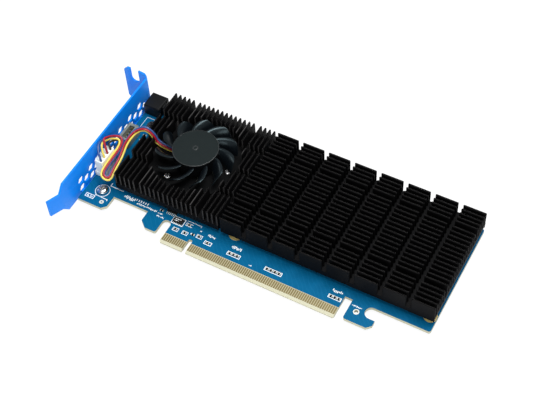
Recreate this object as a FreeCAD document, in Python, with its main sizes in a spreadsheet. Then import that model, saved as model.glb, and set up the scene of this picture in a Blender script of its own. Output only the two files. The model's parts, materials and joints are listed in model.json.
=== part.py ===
import FreeCAD, Part
import math
import os
import re
import Sketcher

# An adapter card that carries two storage modules under finned heat sinks, in millimetres.
# X runs along the card away from the bracket, Y away from the slot, Z out of the component face.
# The origin is at the key notch, on the lower edge of the edge connector, on the component face.

SIZES = {
    # circuit board
    "board_left": -57.15,
    "board_rear": 68.9,
    "board_edge_room": 2.95,
    "board_thick": 1.57,
    "board_low": 11.5,
    "corner_foot": 3.6,
    "corner_step_x": -42.9,
    "corner_cut": 2.0,
    "left_hook_x": -25.0,
    "left_hook_foot": 3.35,
    "left_hook_cut": 3.4,
    "left_slot_x": -16.3,
    "tongue_left": -12.15,
    "tongue_right": 72.15,
    "tongue_cut": 0.5,
    "slot_top": 11.3,
    "left_slot_round": 2.0,
    "key_half": 0.95,
    "key_top": 7.0,
    "bevel_deep": 1.3,
    "bevel_drop": 0.45,
    "hook_left": 75.7,
    "hook_right": 88.2,
    "hook_foot": 1.45,
    "hook_toe": 2.0,
    "hook_top": 6.0,
    "hook_neck": 85.35,
    "hook_round": 2.75,
    # edge contacts
    "contact_pitch": 1.0,
    "contact_wide": 0.7,
    "contact_top": 4.9,
    "contact_thick": 0.05,
    "contact_short_count": 11,
    "contact_long_count": 71,
    "contact_first": 1.5,
    # screw places
    "bracket_screw_x": -49.4,
    "bracket_screw_low": 12.2,
    "bracket_screw_gap": 42.0,
    "sink_screw_low": 18.5,
    "sink_screw_high": 65.5,
    "fan_sink_screw_left": -40.5,
    "fan_sink_screw_right": 5.6,
    "large_sink_screw_left": 16.1,
    "far_screw_gap": 5.5,
    "board_hole_radius": 1.45,
    "hook_hole_x": 79.5,
    "hook_hole_radius": 0.9,
    # bracket sheet
    "sheet": 0.86,
    "bracket_face": -59.05,
    "bracket_low": -2.43,
    "bracket_high": 15.99,
    "bracket_foot": -2.0,
    "taper_foot": -5.4,
    "tongue_low": 1.9,
    "tongue_high": 12.1,
    "tongue_tip": -11.2,
    "tongue_bend": 2.6,
    "tab_seat": 67.14,
    "tab_end": -70.7,
    "tab_high": 18.9,
    "tab_inner_high": 18.4,
    "tab_slot_x": -64.9,
    "tab_slot_half": 2.21,
    "tab_slot_low": 13.3,
    "tab_corner": 2.0,
    "lug_end": -45.7,
    "lug_half": 3.75,
    "vent_flat": 3.5,
    "vent_step": 4.08,
    "vent_first_y": 62.58,
    "vent_low": 0.5,
    "vent_rise": 5.1,
    # heat sinks
    "fin_thick": 0.85,
    "fin_top": 12.25,
    "sink_rear": 68.65,
    "cut_wide": 2.25,
    "fan_sink_left": -43.75,
    "fan_sink_right": 8.85,
    "fan_sink_front": 15.3,
    "fan_sink_low": 2.4,
    "fan_sink_floor": 5.4,
    "fan_fin_pitch": 2.35,
    "fan_fin_first": -30.3,
    "fan_fin_outer_pitch": 2.4,
    "fan_fin_right_pitch": 2.3,
    "fan_cut_first": 28.7,
    "fan_cut_pitch": 13.45,
    "fan_pocket_room": 0.4,
    "large_sink_left": 10.2,
    "sink_step_in": 0.1,
    "large_sink_front": 15.1,
    "large_sink_low": 3.7,
    "large_sink_floor": 5.3,
    "large_lip_low": 2.5,
    "large_fin_first": 28.0,
    "large_fin_pitch": 2.35,
    "large_fin_front_pitch": 2.3,
    "large_fin_rear_pitch": 2.2,
    "large_block": 10.55,
    # fan
    "fan_x": -17.0,
    "fan_y": 42.0,
    "fan_plate_radius": 20.0,
    "fan_plate_thick": 0.8,
    "fan_board_radius": 9.2,
    "fan_board_thick": 0.6,
    "fan_screw_circle": 15.5,
    "fan_screw_turn": 1.0,
    "hub_radius": 10.5,
    "hub_wall": 0.8,
    "hub_low": 7.8,
    "hub_top": 15.4,
    "hub_roof": 1.2,
    "hub_edge": 1.4,
    "blade_count": 11,
    "blade_top": 13.75,
    "blade_thick": 0.75,
    "blade_root_radius": 9.75,
    "blade_mid_radius": 14.2,
    "blade_tip_radius": 16.8,
    "blade_root_run": 5.0,
    "blade_mid_run": 6.8,
    "blade_tip_run": 6.2,
    "blade_root_shift": 1.2,
    "blade_mid_shift": -0.6,
    "blade_tip_shift": -4.2,
    "blade_slope": 0.772,
    "blade_turn": 13.6,
    "magnet_thick": 1.0,
    "stator_radius": 8.2,
    "tube_radius": 2.6,
    "shaft_radius": 1.0,
    "shaft_clear": 0.03,
    # screws
    "screw_radius": 1.25,
    "spacer_radius": 2.2,
    "pan_radius": 2.8,
    "pan_high": 1.9,
    "rear_head_radius": 2.25,
    "rear_head_high": 1.5,
    "fan_head_radius": 1.5,
    "fan_head_high": 0.9,
    "fan_screw_radius": 0.8,
    # processor and storage parts
    "chip_wide": 35.0,
    "chip_high": 2.1,
    "module_left": 22.0,
    "module_long": 80.0,
    "module_wide": 22.0,
    "module_low": 1.2,
    "module_thick": 0.8,
    "module_first_y": 28.5,
    "module_step": 27.0,
    "socket_left": 19.2,
    "socket_long": 6.8,
    "socket_high": 3.2,
    "storage_chip_high": 1.3,
    "storage_chip_long": 14.0,
    "storage_chip_half": 8.0,
    "module_near_room": 3.0,
    "module_far_room": 12.0,
    "module_tongue_inset": 0.8,
    "module_notch": 1.75,
    "module_pad_room": 6.0,
    "post_radius": 2.75,
    "post_bore": 0.9,
    "module_head_radius": 2.6,
    "module_head_high": 0.9,
    # fan lead
    "header_left": -57.3,
    "header_right": -52.3,
    "header_front": 18.6,
    "header_rear": 28.8,
    "header_high": 3.0,
    "plug_low": 3.0,
    "plug_high": 10.4,
    "pin_pitch": 2.54,
    "pin_aside": 0.4,
    "wire_aside": 0.9,
    "wire_deep": 1.2,
    "window_room": 0.07,
    "wire_radius": 0.48,
    "bundle_half": 0.54,
    # connectors behind the bracket
    "side_left": -57.2,
    "side_right": -52.0,
    "side_front": 38.0,
    "side_rear": 48.0,
    "side_high": 5.8,
    "side_wall": 1.3,
    "side_floor": 2.4,
    "side_pin": 0.6,
    "side_pin_step": 2.0,
    "side_pin_top": 5.2,
    "power_left": -57.0,
    "power_right": -48.5,
    "power_front": 59.9,
    "power_rear": 68.6,
    "power_high": 6.4,
    "power_edge": 0.4,
    "latch_out": 0.9,
    "latch_low": 1.0,
    "latch_high": 5.6,
    "latch_long": 3.4,
    # small soldered parts
    "front_part_long": 1.6,
    "front_part_wide": 0.9,
    "front_part_high": 0.6,
    "front_chip_long": 4.8,
    "front_chip_wide": 2.8,
    "front_chip_high": 1.0,
    "rear_part_long": 1.0,
    "rear_part_wide": 0.6,
    "rear_part_high": 0.5,
}
# Sizes that follow from the ones above
FOLLOWING = {
    "large_sink_screw_right": "module_left + module_long + far_screw_gap",
    "board_right": "large_sink_screw_right + board_edge_room",
    "large_sink_right": "board_right - sink_step_in",
    "fan_pocket_radius": "fan_plate_radius + fan_pocket_room",
}

document = FreeCAD.newDocument("nvme_adapter_card")
sheet = document.addObject("Spreadsheet::Sheet", "dims")
rows = [(name, repr(value)) for name, value in SIZES.items()]
rows += [(name, "=" + text) for name, text in FOLLOWING.items()]
for row, (name, text) in enumerate(rows, start=1):
    sheet.set("A%d" % row, name)
    sheet.set("B%d" % row, text)
    sheet.setAlias("B%d" % row, name)
document.recompute()

parts = []


def link(text):
    """The same expression with every named size read from the sheet."""
    def swap(word):
        found = word.group()
        return "dims." + found if found in SIZES or found in FOLLOWING else found
    return re.sub(r"[a-z_]+", swap, str(text))


def number(text):
    """The value that an expression of named sizes has now."""
    return float(sheet.evalExpression(link(text)))


def new_body(label):
    """One sub-part, named for the file it is written to."""
    body = document.addObject("PartDesign::Body", label)
    body.Label = label
    parts.append(body)
    return body


def solid_group(label, shape):
    """A sub-part that is a group of repeated solids."""
    group = document.addObject("Part::Feature", label)
    group.Label = label
    group.Shape = shape
    parts.append(group)
    return group


def origin_part(body, role):
    """The plane or axis of the body's own origin that has this role."""
    return [item for item in body.Origin.OriginFeatures if item.Role == role][0]


def new_sketch(body, name, plane, offset="0"):
    """An empty sketch on one of the body's own planes, lifted by an expression."""
    sketch = body.newObject("Sketcher::SketchObject", name)
    sketch.AttachmentSupport = [(origin_part(body, plane), "")]
    sketch.MapMode = "FlatFace"
    sketch.setExpression("AttachmentOffset.Base.z", link(offset))
    return sketch


def pin(sketch, element, point, across, up):
    """Holds one point of a sketch at two expressions."""
    for kind, text in (("DistanceX", across), ("DistanceY", up)):
        index = sketch.addConstraint(Sketcher.Constraint(kind, element, point, number(text)))
        sketch.setExpression("Constraints[%d]" % index, link(text))


def polygon(sketch, corners):
    """A closed outline through corners given as pairs of expressions."""
    first = sketch.GeometryCount
    count = len(corners)
    points = [FreeCAD.Vector(number(across), number(up), 0) for across, up in corners]
    for k in range(count):
        sketch.addGeometry(Part.LineSegment(points[k], points[(k + 1) % count]), False)
    for k in range(count):
        following = first + (k + 1) % count
        sketch.addConstraint(Sketcher.Constraint("Coincident", first + k, 2, following, 1))
    for k, (across, up) in enumerate(corners):
        pin(sketch, first + k, 1, across, up)


def rectangle(sketch, left, low, right, high):
    """A closed rectangle between four expressions."""
    polygon(sketch, [(left, low), (right, low), (right, high), (left, high)])


def circle(sketch, across, up, radius):
    """A circle held by its centre and radius."""
    centre = FreeCAD.Vector(number(across), number(up), 0)
    element = sketch.addGeometry(Part.Circle(centre, FreeCAD.Vector(0, 0, 1), number(radius)), False)
    pin(sketch, element, 3, across, up)
    index = sketch.addConstraint(Sketcher.Constraint("Radius", element, number(radius)))
    sketch.setExpression("Constraints[%d]" % index, link(radius))


def pad(body, sketch, length, name):
    """The sketch grown along its normal."""
    feature = body.newObject("PartDesign::Pad", name)
    feature.Profile = sketch
    feature.setExpression("Length", link(length))
    document.recompute()
    return feature


def pocket(body, sketch, length, name):
    """The sketch cut along its normal; a cut that takes nothing away stops the build."""
    before = body.Shape.Volume
    feature = body.newObject("PartDesign::Pocket", name)
    feature.Profile = sketch
    feature.Reversed = True
    feature.setExpression("Length", link(length))
    document.recompute()
    if body.Shape.Volume >= before - 1e-6:
        raise RuntimeError("nothing was cut by " + name)
    return feature


def repeat(body, feature, axis, step, count, name):
    """A row of one feature along an axis of the body."""
    row = body.newObject("PartDesign::LinearPattern", name)
    row.Originals = [feature]
    row.Direction = (origin_part(body, axis), [""])
    row.Mode = "Spacing"
    row.setExpression("Offset", link(step))
    row.setExpression("Occurrences", link(count))
    body.Tip = row
    document.recompute()
    return row


def upright_edges(shape, places):
    """Names of the edges along Z that stand nearest to each place."""
    names = []
    for across, up in places:
        best = None
        for index, edge in enumerate(shape.Edges, start=1):
            box = edge.BoundBox
            if box.XLength > 0.01 or box.YLength > 0.01 or box.ZLength < 0.1:
                continue
            away = math.hypot(box.XMin - number(across), box.YMin - number(up))
            if best is None or away < best[0]:
                best = (away, index)
        names.append("Edge%d" % best[1])
    return names


def fillet(body, names, radius, name):
    """Named edges of the body's last feature, rounded."""
    carrier = body.Tip
    feature = body.newObject("PartDesign::Fillet", name)
    feature.Base = (carrier, names)
    feature.setExpression("Radius", link(radius))
    document.recompute()
    return feature


def turned(body, corners, name):
    """A solid of revolution about the body's Z axis, from (radius, height) corners."""
    sketch = new_sketch(body, name + "_profile", "XZ_Plane")
    polygon(sketch, corners)
    feature = body.newObject("PartDesign::Revolution", name)
    feature.Profile = sketch
    feature.ReferenceAxis = (sketch, ["V_Axis"])
    feature.Angle = 360
    document.recompute()
    return feature


def place_body(body, across, up, high="0"):
    """Moves a finished body to a point given by expressions."""
    for axis, text in (("x", across), ("y", up), ("z", high)):
        body.setExpression("Placement.Base." + axis, link(text))


def block(left, front, low, right, rear, high):
    """A box between six numbers."""
    corner = FreeCAD.Vector(left, front, low)
    return Part.makeBox(right - left, rear - front, high - low, corner)


def prism(middle, radius, sides, high):
    """An upright prism with regular sides, standing on its middle point."""
    corners = []
    for k in range(sides + 1):
        turn = 2 * math.pi * k / sides
        corners.append(middle + FreeCAD.Vector(radius * math.cos(turn), radius * math.sin(turn), 0))
    return Part.Face(Part.makePolygon(corners)).extrude(FreeCAD.Vector(0, 0, high))


def rod(radius, low, high, x=0.0, y=0.0):
    """An upright pin between two heights, its round drawn with twelve sides."""
    return prism(FreeCAD.Vector(x, y, low), radius, 12, high - low)


SINK_SCREWS = [
    (x, y)
    for x in ("fan_sink_screw_left", "fan_sink_screw_right",
              "large_sink_screw_left", "large_sink_screw_right")
    for y in ("sink_screw_low", "sink_screw_high")
]
BRACKET_SCREWS = [
    ("bracket_screw_x", "bracket_screw_low"),
    ("bracket_screw_x", "bracket_screw_low + bracket_screw_gap"),
]


# Circuit board: one outline with the key notch, the slots and the retention hook
def build_board():
    body = new_body("circuit_board")
    outline = new_sketch(body, "board_outline", "XY_Plane", "-board_thick")
    polygon(outline, [
        ("board_left", "corner_foot"),
        ("corner_step_x - corner_cut", "corner_foot"),
        ("corner_step_x", "corner_foot + corner_cut"),
        ("corner_step_x", "board_low"),
        ("left_hook_x", "board_low"),
        ("left_hook_x", "left_hook_foot + left_hook_cut - 0.5"),
        ("left_hook_x + left_hook_cut", "left_hook_foot"),
        ("left_slot_x", "left_hook_foot"),
        ("left_slot_x", "slot_top"),
        ("tongue_left", "slot_top"),
        ("tongue_left", "tongue_cut"),
        ("tongue_left + tongue_cut", "0"),
        ("tongue_right - tongue_cut", "0"),
        ("tongue_right", "tongue_cut"),
        ("tongue_right", "slot_top"),
        ("hook_left", "slot_top"),
        ("hook_left", "hook_foot"),
        ("hook_right - hook_toe", "hook_foot"),
        ("hook_right", "hook_foot + hook_toe"),
        ("hook_right", "hook_top"),
        ("hook_neck", "hook_top"),
        ("hook_neck", "board_low"),
        ("board_right", "board_low"),
        ("board_right", "board_rear"),
        ("board_left", "board_rear"),
    ])
    pad(body, outline, "board_thick", "board_plate")
    notch = new_sketch(body, "key_shape", "XY_Plane", "-board_thick")
    rectangle(notch, "-key_half", "-1", "key_half", "key_top - key_half")
    pocket(body, notch, "board_thick", "key_notch")
    ends = new_sketch(body, "round_ends", "XY_Plane", "-board_thick")
    circle(ends, "0", "key_top - key_half", "key_half")
    circle(ends, "hook_neck", "(hook_top + board_low) / 2", "(board_low - hook_top) / 2")
    pocket(body, ends, "board_thick", "round_ends_cut")
    slope = new_sketch(body, "bevel_shape", "YZ_Plane", "tongue_left - 1")
    polygon(slope, [("-1", "-bevel_drop"), ("0", "-bevel_drop"), ("bevel_deep", "0"),
                    ("bevel_deep", "1"), ("-1", "1")])
    polygon(slope, [("-1", "bevel_drop - board_thick"), ("0", "bevel_drop - board_thick"),
                    ("bevel_deep", "-board_thick"), ("bevel_deep", "-board_thick - 1"),
                    ("-1", "-board_thick - 1")])
    pocket(body, slope, "tongue_right - tongue_left + 2", "tongue_bevel")
    holes = new_sketch(body, "screw_hole_shapes", "XY_Plane", "-board_thick")
    for x, y in SINK_SCREWS + BRACKET_SCREWS:
        circle(holes, x, y, "board_hole_radius")
    circle(holes, "hook_hole_x", "hook_top + 0.6", "hook_hole_radius")
    pocket(body, holes, "board_thick", "screw_holes")
    rounds = upright_edges(body.Shape, [("left_slot_x", "slot_top"), ("tongue_left", "slot_top")])
    fillet(body, rounds, "left_slot_round", "left_slot_end")
    corners = upright_edges(body.Shape, [("left_slot_x", "left_hook_foot"),
                                         ("board_right", "board_low"),
                                         ("board_right", "board_rear"),
                                         ("hook_left", "hook_foot")])
    fillet(body, corners, "tongue_cut * 2", "board_corners")



# Edge contacts: a gold finger for each way, on both faces
def build_contacts():
    half = number("contact_wide") / 2
    low = number("bevel_deep")
    high = number("contact_top")
    thick = number("contact_thick")
    under = -number("board_thick")
    pitch = number("contact_pitch")
    first = number("contact_first")
    places = [-first - k * pitch for k in range(round(number("contact_short_count")))]
    places += [first + k * pitch for k in range(round(number("contact_long_count")))]
    fingers = []
    for x in places:
        fingers.append(block(x - half, low, 0, x + half, high, thick))
        fingers.append(block(x - half, low, under - thick, x + half, high, under))
    solid_group("edge_contacts", Part.makeCompound(fingers))


# Bracket: one bent sheet with a screw tab, a bent tongue, two lugs and rows of six-sided vents
def build_bracket():
    body = new_body("bracket")
    face = new_sketch(body, "face_outline", "YZ_Plane", "bracket_face")
    polygon(face, [
        ("bracket_foot", "bracket_low"),
        ("taper_foot", "tongue_low"),
        ("taper_foot", "tongue_high"),
        ("bracket_foot", "bracket_high"),
        ("tab_seat + sheet", "bracket_high"),
        ("tab_seat + sheet", "bracket_low"),
    ])
    pad(body, face, "sheet", "face_sheet")
    tongue = new_sketch(body, "tongue_side", "XY_Plane", "tongue_low")
    polygon(tongue, [
        ("bracket_face", "taper_foot"),
        ("bracket_face - tongue_bend", "tongue_tip"),
        ("bracket_face - tongue_bend + sheet", "tongue_tip"),
        ("bracket_face + sheet", "taper_foot"),
        ("bracket_face + sheet", "taper_foot + 0.3"),
        ("bracket_face", "taper_foot + 0.3"),
    ])
    pad(body, tongue, "tongue_high - tongue_low", "tongue_sheet")
    tab = new_sketch(body, "tab_outline", "XZ_Plane", "-tab_seat - sheet")
    polygon(tab, [
        ("bracket_face + sheet", "bracket_low"),
        ("bracket_face + sheet", "bracket_high"),
        ("bracket_face - 0.3", "tab_inner_high"),
        ("bracket_face - 3.1", "tab_high"),
        ("tab_end + tab_corner", "tab_high"),
        ("tab_end", "tab_high - tab_corner"),
        ("tab_end", "bracket_low + tab_corner"),
        ("tab_end + tab_corner", "bracket_low"),
    ])
    pad(body, tab, "sheet", "tab_sheet")
    lugs = new_sketch(body, "lug_shapes", "XY_Plane", "bracket_low")
    for x, y in BRACKET_SCREWS:
        rectangle(lugs, "bracket_face + sheet / 2", y + " - lug_half",
                  "lug_end", y + " + lug_half")
    pad(body, lugs, "sheet", "lugs")
    slot = new_sketch(body, "slot_shape", "XZ_Plane", "-tab_seat - sheet")
    rectangle(slot, "tab_slot_x - tab_slot_half", "tab_slot_low",
              "tab_slot_x + tab_slot_half", "tab_high + 1")
    pocket(body, slot, "sheet", "tab_slot")
    foot = new_sketch(body, "slot_end_shape", "XZ_Plane", "-tab_seat - sheet")
    circle(foot, "tab_slot_x", "tab_slot_low", "tab_slot_half")
    pocket(body, foot, "sheet", "tab_slot_end")
    bores = new_sketch(body, "lug_bore_shapes", "XY_Plane", "bracket_low")
    for x, y in BRACKET_SCREWS:
        circle(bores, x, y, "screw_radius")
    pocket(body, bores, "sheet", "lug_bores")
    build_vents(body, "vent_wide", "vent_low", "vent_first_y - vent_step", 7, 3)
    build_vents(body, "vent_between", "vent_low + vent_rise / 2", "vent_first_y", 7, 2)
    corners = upright_edges(body.Shape, [
        ("lug_end", "bracket_screw_low - lug_half"),
        ("lug_end", "bracket_screw_low + lug_half"),
        ("lug_end", "bracket_screw_low + bracket_screw_gap - lug_half"),
        ("lug_end", "bracket_screw_low + bracket_screw_gap + lug_half"),
    ])
    fillet(body, corners, "tab_corner", "lug_corners")
    bend = upright_edges(body.Shape, [("bracket_face + sheet", "tab_seat + sheet")])
    fillet(body, bend, "sheet * 0.9", "tab_bend")


def build_vents(body, name, low, rear, columns, rows):
    """Rows and columns of six-sided holes through the bracket's face."""
    shape = new_sketch(body, name + "_shape", "YZ_Plane", "bracket_face")
    side = "vent_flat / 1.732"
    half = "vent_flat / 2"
    polygon(shape, [
        (rear + " - " + side, low),
        (rear + " - " + side + " / 2", low + " - " + half),
        (rear + " + " + side + " / 2", low + " - " + half),
        (rear + " + " + side, low),
        (rear + " + " + side + " / 2", low + " + " + half),
        (rear + " - " + side + " / 2", low + " + " + half),
    ])
    cut = pocket(body, shape, "sheet", name)
    field = body.newObject("PartDesign::LinearPattern", name + "_field")
    field.Originals = [cut]
    field.Direction = (origin_part(body, "Y_Axis"), [""])
    field.Reversed = True
    field.Mode = "Spacing"
    field.setExpression("Offset", link("vent_step * 2"))
    field.Occurrences = columns
    field.Direction2 = (origin_part(body, "Z_Axis"), [""])
    field.Mode2 = "Spacing"
    field.setExpression("Offset2", link("vent_rise"))
    field.Occurrences2 = rows
    body.Tip = field
    document.recompute()


# Heat sink under the fan: fins along Y, cut across three times, with a round place for the fan
def build_fan_sink():
    body = new_body("fan_heat_sink")
    base = new_sketch(body, "base_outline", "XY_Plane", "fan_sink_low")
    rectangle(base, "fan_sink_left", "fan_sink_front", "fan_sink_right", "sink_rear")
    pad(body, base, "fan_sink_floor - fan_sink_low", "base")
    rows = [
        ("left", "fan_sink_left + fin_thick / 2", "fan_fin_outer_pitch", 5),
        ("middle", "fan_fin_first", "fan_fin_pitch", 13),
        ("right", "fan_sink_right - fin_thick / 2 - 3 * fan_fin_right_pitch",
         "fan_fin_right_pitch", 4),
    ]
    for name, start, step, count in rows:
        shape = new_sketch(body, name + "_fin_shape", "XY_Plane", "fan_sink_floor")
        rectangle(shape, start + " - fin_thick / 2", "fan_sink_front",
                  start + " + fin_thick / 2", "sink_rear")
        fin = pad(body, shape, "fin_top - fan_sink_floor", name + "_fin")
        repeat(body, fin, "X_Axis", step, count, name + "_fins")
    cross = new_sketch(body, "cross_cut_shape", "XY_Plane", "fan_sink_floor")
    rectangle(cross, "fan_sink_left - 1", "fan_cut_first - cut_wide / 2",
              "fan_sink_right + 1", "fan_cut_first + cut_wide / 2")
    cut = pocket(body, cross, "fin_top", "cross_cut")
    repeat(body, cut, "Y_Axis", "fan_cut_pitch", 3, "cross_cuts")
    seat = new_sketch(body, "fan_place_shape", "XY_Plane", "fan_sink_floor")
    circle(seat, "fan_x", "fan_y", "fan_pocket_radius")
    pocket(body, seat, "fin_top", "fan_place")
    sink_bores(body, "fan_sink_screw_left", "fan_sink_screw_right", "fan_sink_low",
               "fan_sink_floor - fan_sink_low - 1")
    fan_screws = new_sketch(body, "fan_bore_shape", "XY_Plane", "fan_sink_low + 1")
    circle(fan_screws, "fan_x + fan_screw_circle * cos(fan_screw_turn)",
           "fan_y + fan_screw_circle * sin(fan_screw_turn)", "fan_screw_radius")
    for step in (120, 240):
        circle(fan_screws, "fan_x + fan_screw_circle * cos(fan_screw_turn + %d)" % step,
               "fan_y + fan_screw_circle * sin(fan_screw_turn + %d)" % step, "fan_screw_radius")
    pocket(body, fan_screws, "fan_sink_floor", "fan_screw_bores")


def sink_bores(body, left, right, low, deep):
    """Four blind screw bores from below, under the corners of a heat sink."""
    bores = new_sketch(body, "screw_bore_shape", "XY_Plane", low)
    for x in (left, right):
        for y in ("sink_screw_low", "sink_screw_high"):
            circle(bores, x, y, "screw_radius")
    pocket(body, bores, deep, "screw_bores")


# Heat sink over the storage modules: fins along X, cut across into eight blocks
def build_large_sink():
    body = new_body("large_heat_sink")
    base = new_sketch(body, "base_outline", "XY_Plane", "large_sink_low")
    rectangle(base, "large_sink_left", "large_sink_front", "large_sink_right", "sink_rear")
    pad(body, base, "large_sink_floor - large_sink_low", "base")
    lips = new_sketch(body, "lip_shapes", "XY_Plane", "large_lip_low")
    rectangle(lips, "large_sink_left", "large_sink_front",
              "large_sink_right", "large_sink_front + fin_thick")
    rectangle(lips, "large_sink_left", "sink_rear - fin_thick", "large_sink_right", "sink_rear")
    pad(body, lips, "large_sink_low - large_lip_low", "lips")
    rows = [
        ("front", "large_sink_front + fin_thick / 2", "large_fin_front_pitch", 5),
        ("middle", "large_fin_first", "large_fin_pitch", 13),
        ("rear", "sink_rear - fin_thick / 2 - 4 * large_fin_rear_pitch",
         "large_fin_rear_pitch", 5),
    ]
    for name, start, step, count in rows:
        shape = new_sketch(body, name + "_fin_shape", "XY_Plane", "large_sink_floor")
        rectangle(shape, "large_sink_left", start + " - fin_thick / 2",
                  "large_sink_right", start + " + fin_thick / 2")
        fin = pad(body, shape, "fin_top - large_sink_floor", name + "_fin")
        repeat(body, fin, "Y_Axis", step, count, name + "_fins")
    cross = new_sketch(body, "cross_cut_shape", "XY_Plane", "large_sink_floor")
    rectangle(cross, "large_sink_left + large_block", "large_sink_front - 1",
              "large_sink_left + large_block + cut_wide", "sink_rear + 1")
    cut = pocket(body, cross, "fin_top", "cross_cut")
    repeat(body, cut, "X_Axis", "large_block + cut_wide", 7, "cross_cuts")
    sink_bores(body, "large_sink_screw_left", "large_sink_screw_right", "large_sink_low",
               "large_sink_floor - large_sink_low - 0.6")


# Impeller: a closed cup with eleven swept blades that dip below the next blade
def build_impeller():
    body = new_body("impeller")
    inner = "hub_radius - hub_wall"
    turned(body, [
        ("0", "hub_top - hub_roof"),
        ("shaft_radius", "hub_top - hub_roof"),
        ("shaft_radius", "hub_top - hub_roof * 2"),
        ("shaft_radius * 2", "hub_top - hub_roof * 2"),
        ("shaft_radius * 2", "hub_top - hub_roof"),
        (inner, "hub_top - hub_roof"),
        (inner, "hub_low"),
        ("hub_radius", "hub_low"),
        ("hub_radius", "hub_top - hub_edge"),
        ("hub_radius - hub_edge * 0.3", "hub_top - hub_edge * 0.3"),
        ("hub_radius - hub_edge", "hub_top"),
        ("0", "hub_top"),
    ], "hub")
    sketches = []
    for name in ("root", "mid", "tip"):
        run = "blade_%s_run" % name
        low = "blade_top - %s * blade_slope" % run
        across = "blade_thick * 1.3"
        sketch = new_sketch(body, name + "_section", "YZ_Plane", "blade_%s_radius" % name)
        spin = FreeCAD.Rotation(FreeCAD.Vector(0, 1, 0), number("blade_turn"))
        sketch.AttachmentOffset = FreeCAD.Placement(FreeCAD.Vector(0, 0, 0), spin)
        radius, shift = "blade_%s_radius" % name, "blade_%s_shift" % name
        sketch.setExpression("AttachmentOffset.Base.x", link(
            "%s * sin(blade_turn) + %s * cos(blade_turn)" % (radius, shift)))
        sketch.setExpression("AttachmentOffset.Base.z", link(
            "%s * cos(blade_turn) - %s * sin(blade_turn)" % (radius, shift)))
        document.recompute()
        polygon(sketch, [
            (run + " / 2", "blade_top"),
            ("%s / 2 - %s" % (run, across), "blade_top"),
            ("-%s / 2" % run, "%s + %s * blade_slope" % (low, across)),
            ("-%s / 2" % run, low),
        ])
        sketches.append(sketch)
    blade = body.newObject("PartDesign::AdditiveLoft", "blade")
    blade.Profile = sketches[0]
    blade.Sections = sketches[1:]
    blade.Ruled = True
    document.recompute()
    ring = body.newObject("PartDesign::PolarPattern", "blades")
    ring.Originals = [blade]
    ring.Axis = (origin_part(body, "Z_Axis"), [""])
    ring.Angle = 360
    ring.setExpression("Occurrences", link("blade_count"))
    body.Tip = ring
    document.recompute()
    place_body(body, "fan_x", "fan_y")


# Fan motor: magnet ring and shaft that turn, tube and stator that stand still
def build_motor():
    magnet = new_body("rotor_magnet")
    inner = "hub_radius - hub_wall"
    turned(magnet, [
        (inner + " - magnet_thick", "hub_low"),
        (inner, "hub_low"),
        (inner, "hub_top - hub_roof - 0.8"),
        (inner + " - magnet_thick", "hub_top - hub_roof - 0.8"),
    ], "magnet_ring")
    place_body(magnet, "fan_x", "fan_y")
    shaft = new_body("rotor_shaft")
    turned(shaft, [
        ("0", "fan_sink_floor + fan_plate_thick + 0.3"),
        ("shaft_radius", "fan_sink_floor + fan_plate_thick + 0.3"),
        ("shaft_radius", "hub_top - hub_roof"),
        ("0", "hub_top - hub_roof"),
    ], "shaft")
    place_body(shaft, "fan_x", "fan_y")
    frame = new_body("fan_frame")
    turned(frame, [
        ("0", "fan_sink_floor"),
        ("fan_plate_radius", "fan_sink_floor"),
        ("fan_plate_radius", "fan_sink_floor + fan_plate_thick"),
        ("tube_radius", "fan_sink_floor + fan_plate_thick"),
        ("tube_radius", "hub_top - hub_roof * 2 - 0.6"),
        ("shaft_radius + shaft_clear", "hub_top - hub_roof * 2 - 0.6"),
        ("shaft_radius + shaft_clear", "fan_sink_floor + fan_plate_thick"),
        ("0", "fan_sink_floor + fan_plate_thick"),
    ], "frame")
    bores = new_sketch(frame, "bore_shape", "XY_Plane", "fan_sink_floor")
    for step in (0, 120, 240):
        circle(bores, "fan_screw_circle * cos(fan_screw_turn + %d)" % step,
               "fan_screw_circle * sin(fan_screw_turn + %d)" % step, "fan_screw_radius")
    pocket(frame, bores, "fan_plate_thick", "screw_bores")
    lead = new_sketch(frame, "lead_slot_shape", "XY_Plane", "fan_sink_floor")
    rectangle(lead, "-fan_plate_radius - 1", "-cut_wide / 2 + 0.2",
              "-fan_board_radius", "cut_wide / 2 + 0.2")
    pocket(frame, lead, "fan_plate_thick", "lead_slot")
    place_body(frame, "fan_x", "fan_y")
    board = new_body("fan_board")
    turned(board, [
        ("tube_radius", "fan_sink_floor + fan_plate_thick"),
        ("fan_board_radius", "fan_sink_floor + fan_plate_thick"),
        ("fan_board_radius", "fan_sink_floor + fan_plate_thick + fan_board_thick"),
        ("tube_radius", "fan_sink_floor + fan_plate_thick + fan_board_thick"),
    ], "board")
    place_body(board, "fan_x", "fan_y")
    stator = new_body("fan_stator")
    low = "fan_sink_floor + fan_plate_thick + fan_board_thick"
    high = "hub_top - hub_roof - 1.6"
    turned(stator, [
        ("tube_radius", low),
        ("stator_radius", low),
        ("stator_radius", high),
        ("tube_radius", high),
    ], "stator")
    place_body(stator, "fan_x", "fan_y")


def screw(x, y, seat, turn_up, head_radius, head_high, shank_radius, shank_long):
    """A pan-headed screw; its head stands above its seat, or below when turned over."""
    way = 1 if turn_up else -1
    body = rod(head_radius, 0, head_high).fuse(rod(shank_radius, -shank_long, 0))
    body = body.removeSplitter()
    if way < 0:
        body.rotate(FreeCAD.Vector(0, 0, 0), FreeCAD.Vector(1, 0, 0), 180)
    body.translate(FreeCAD.Vector(x, y, seat))
    return body


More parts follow.
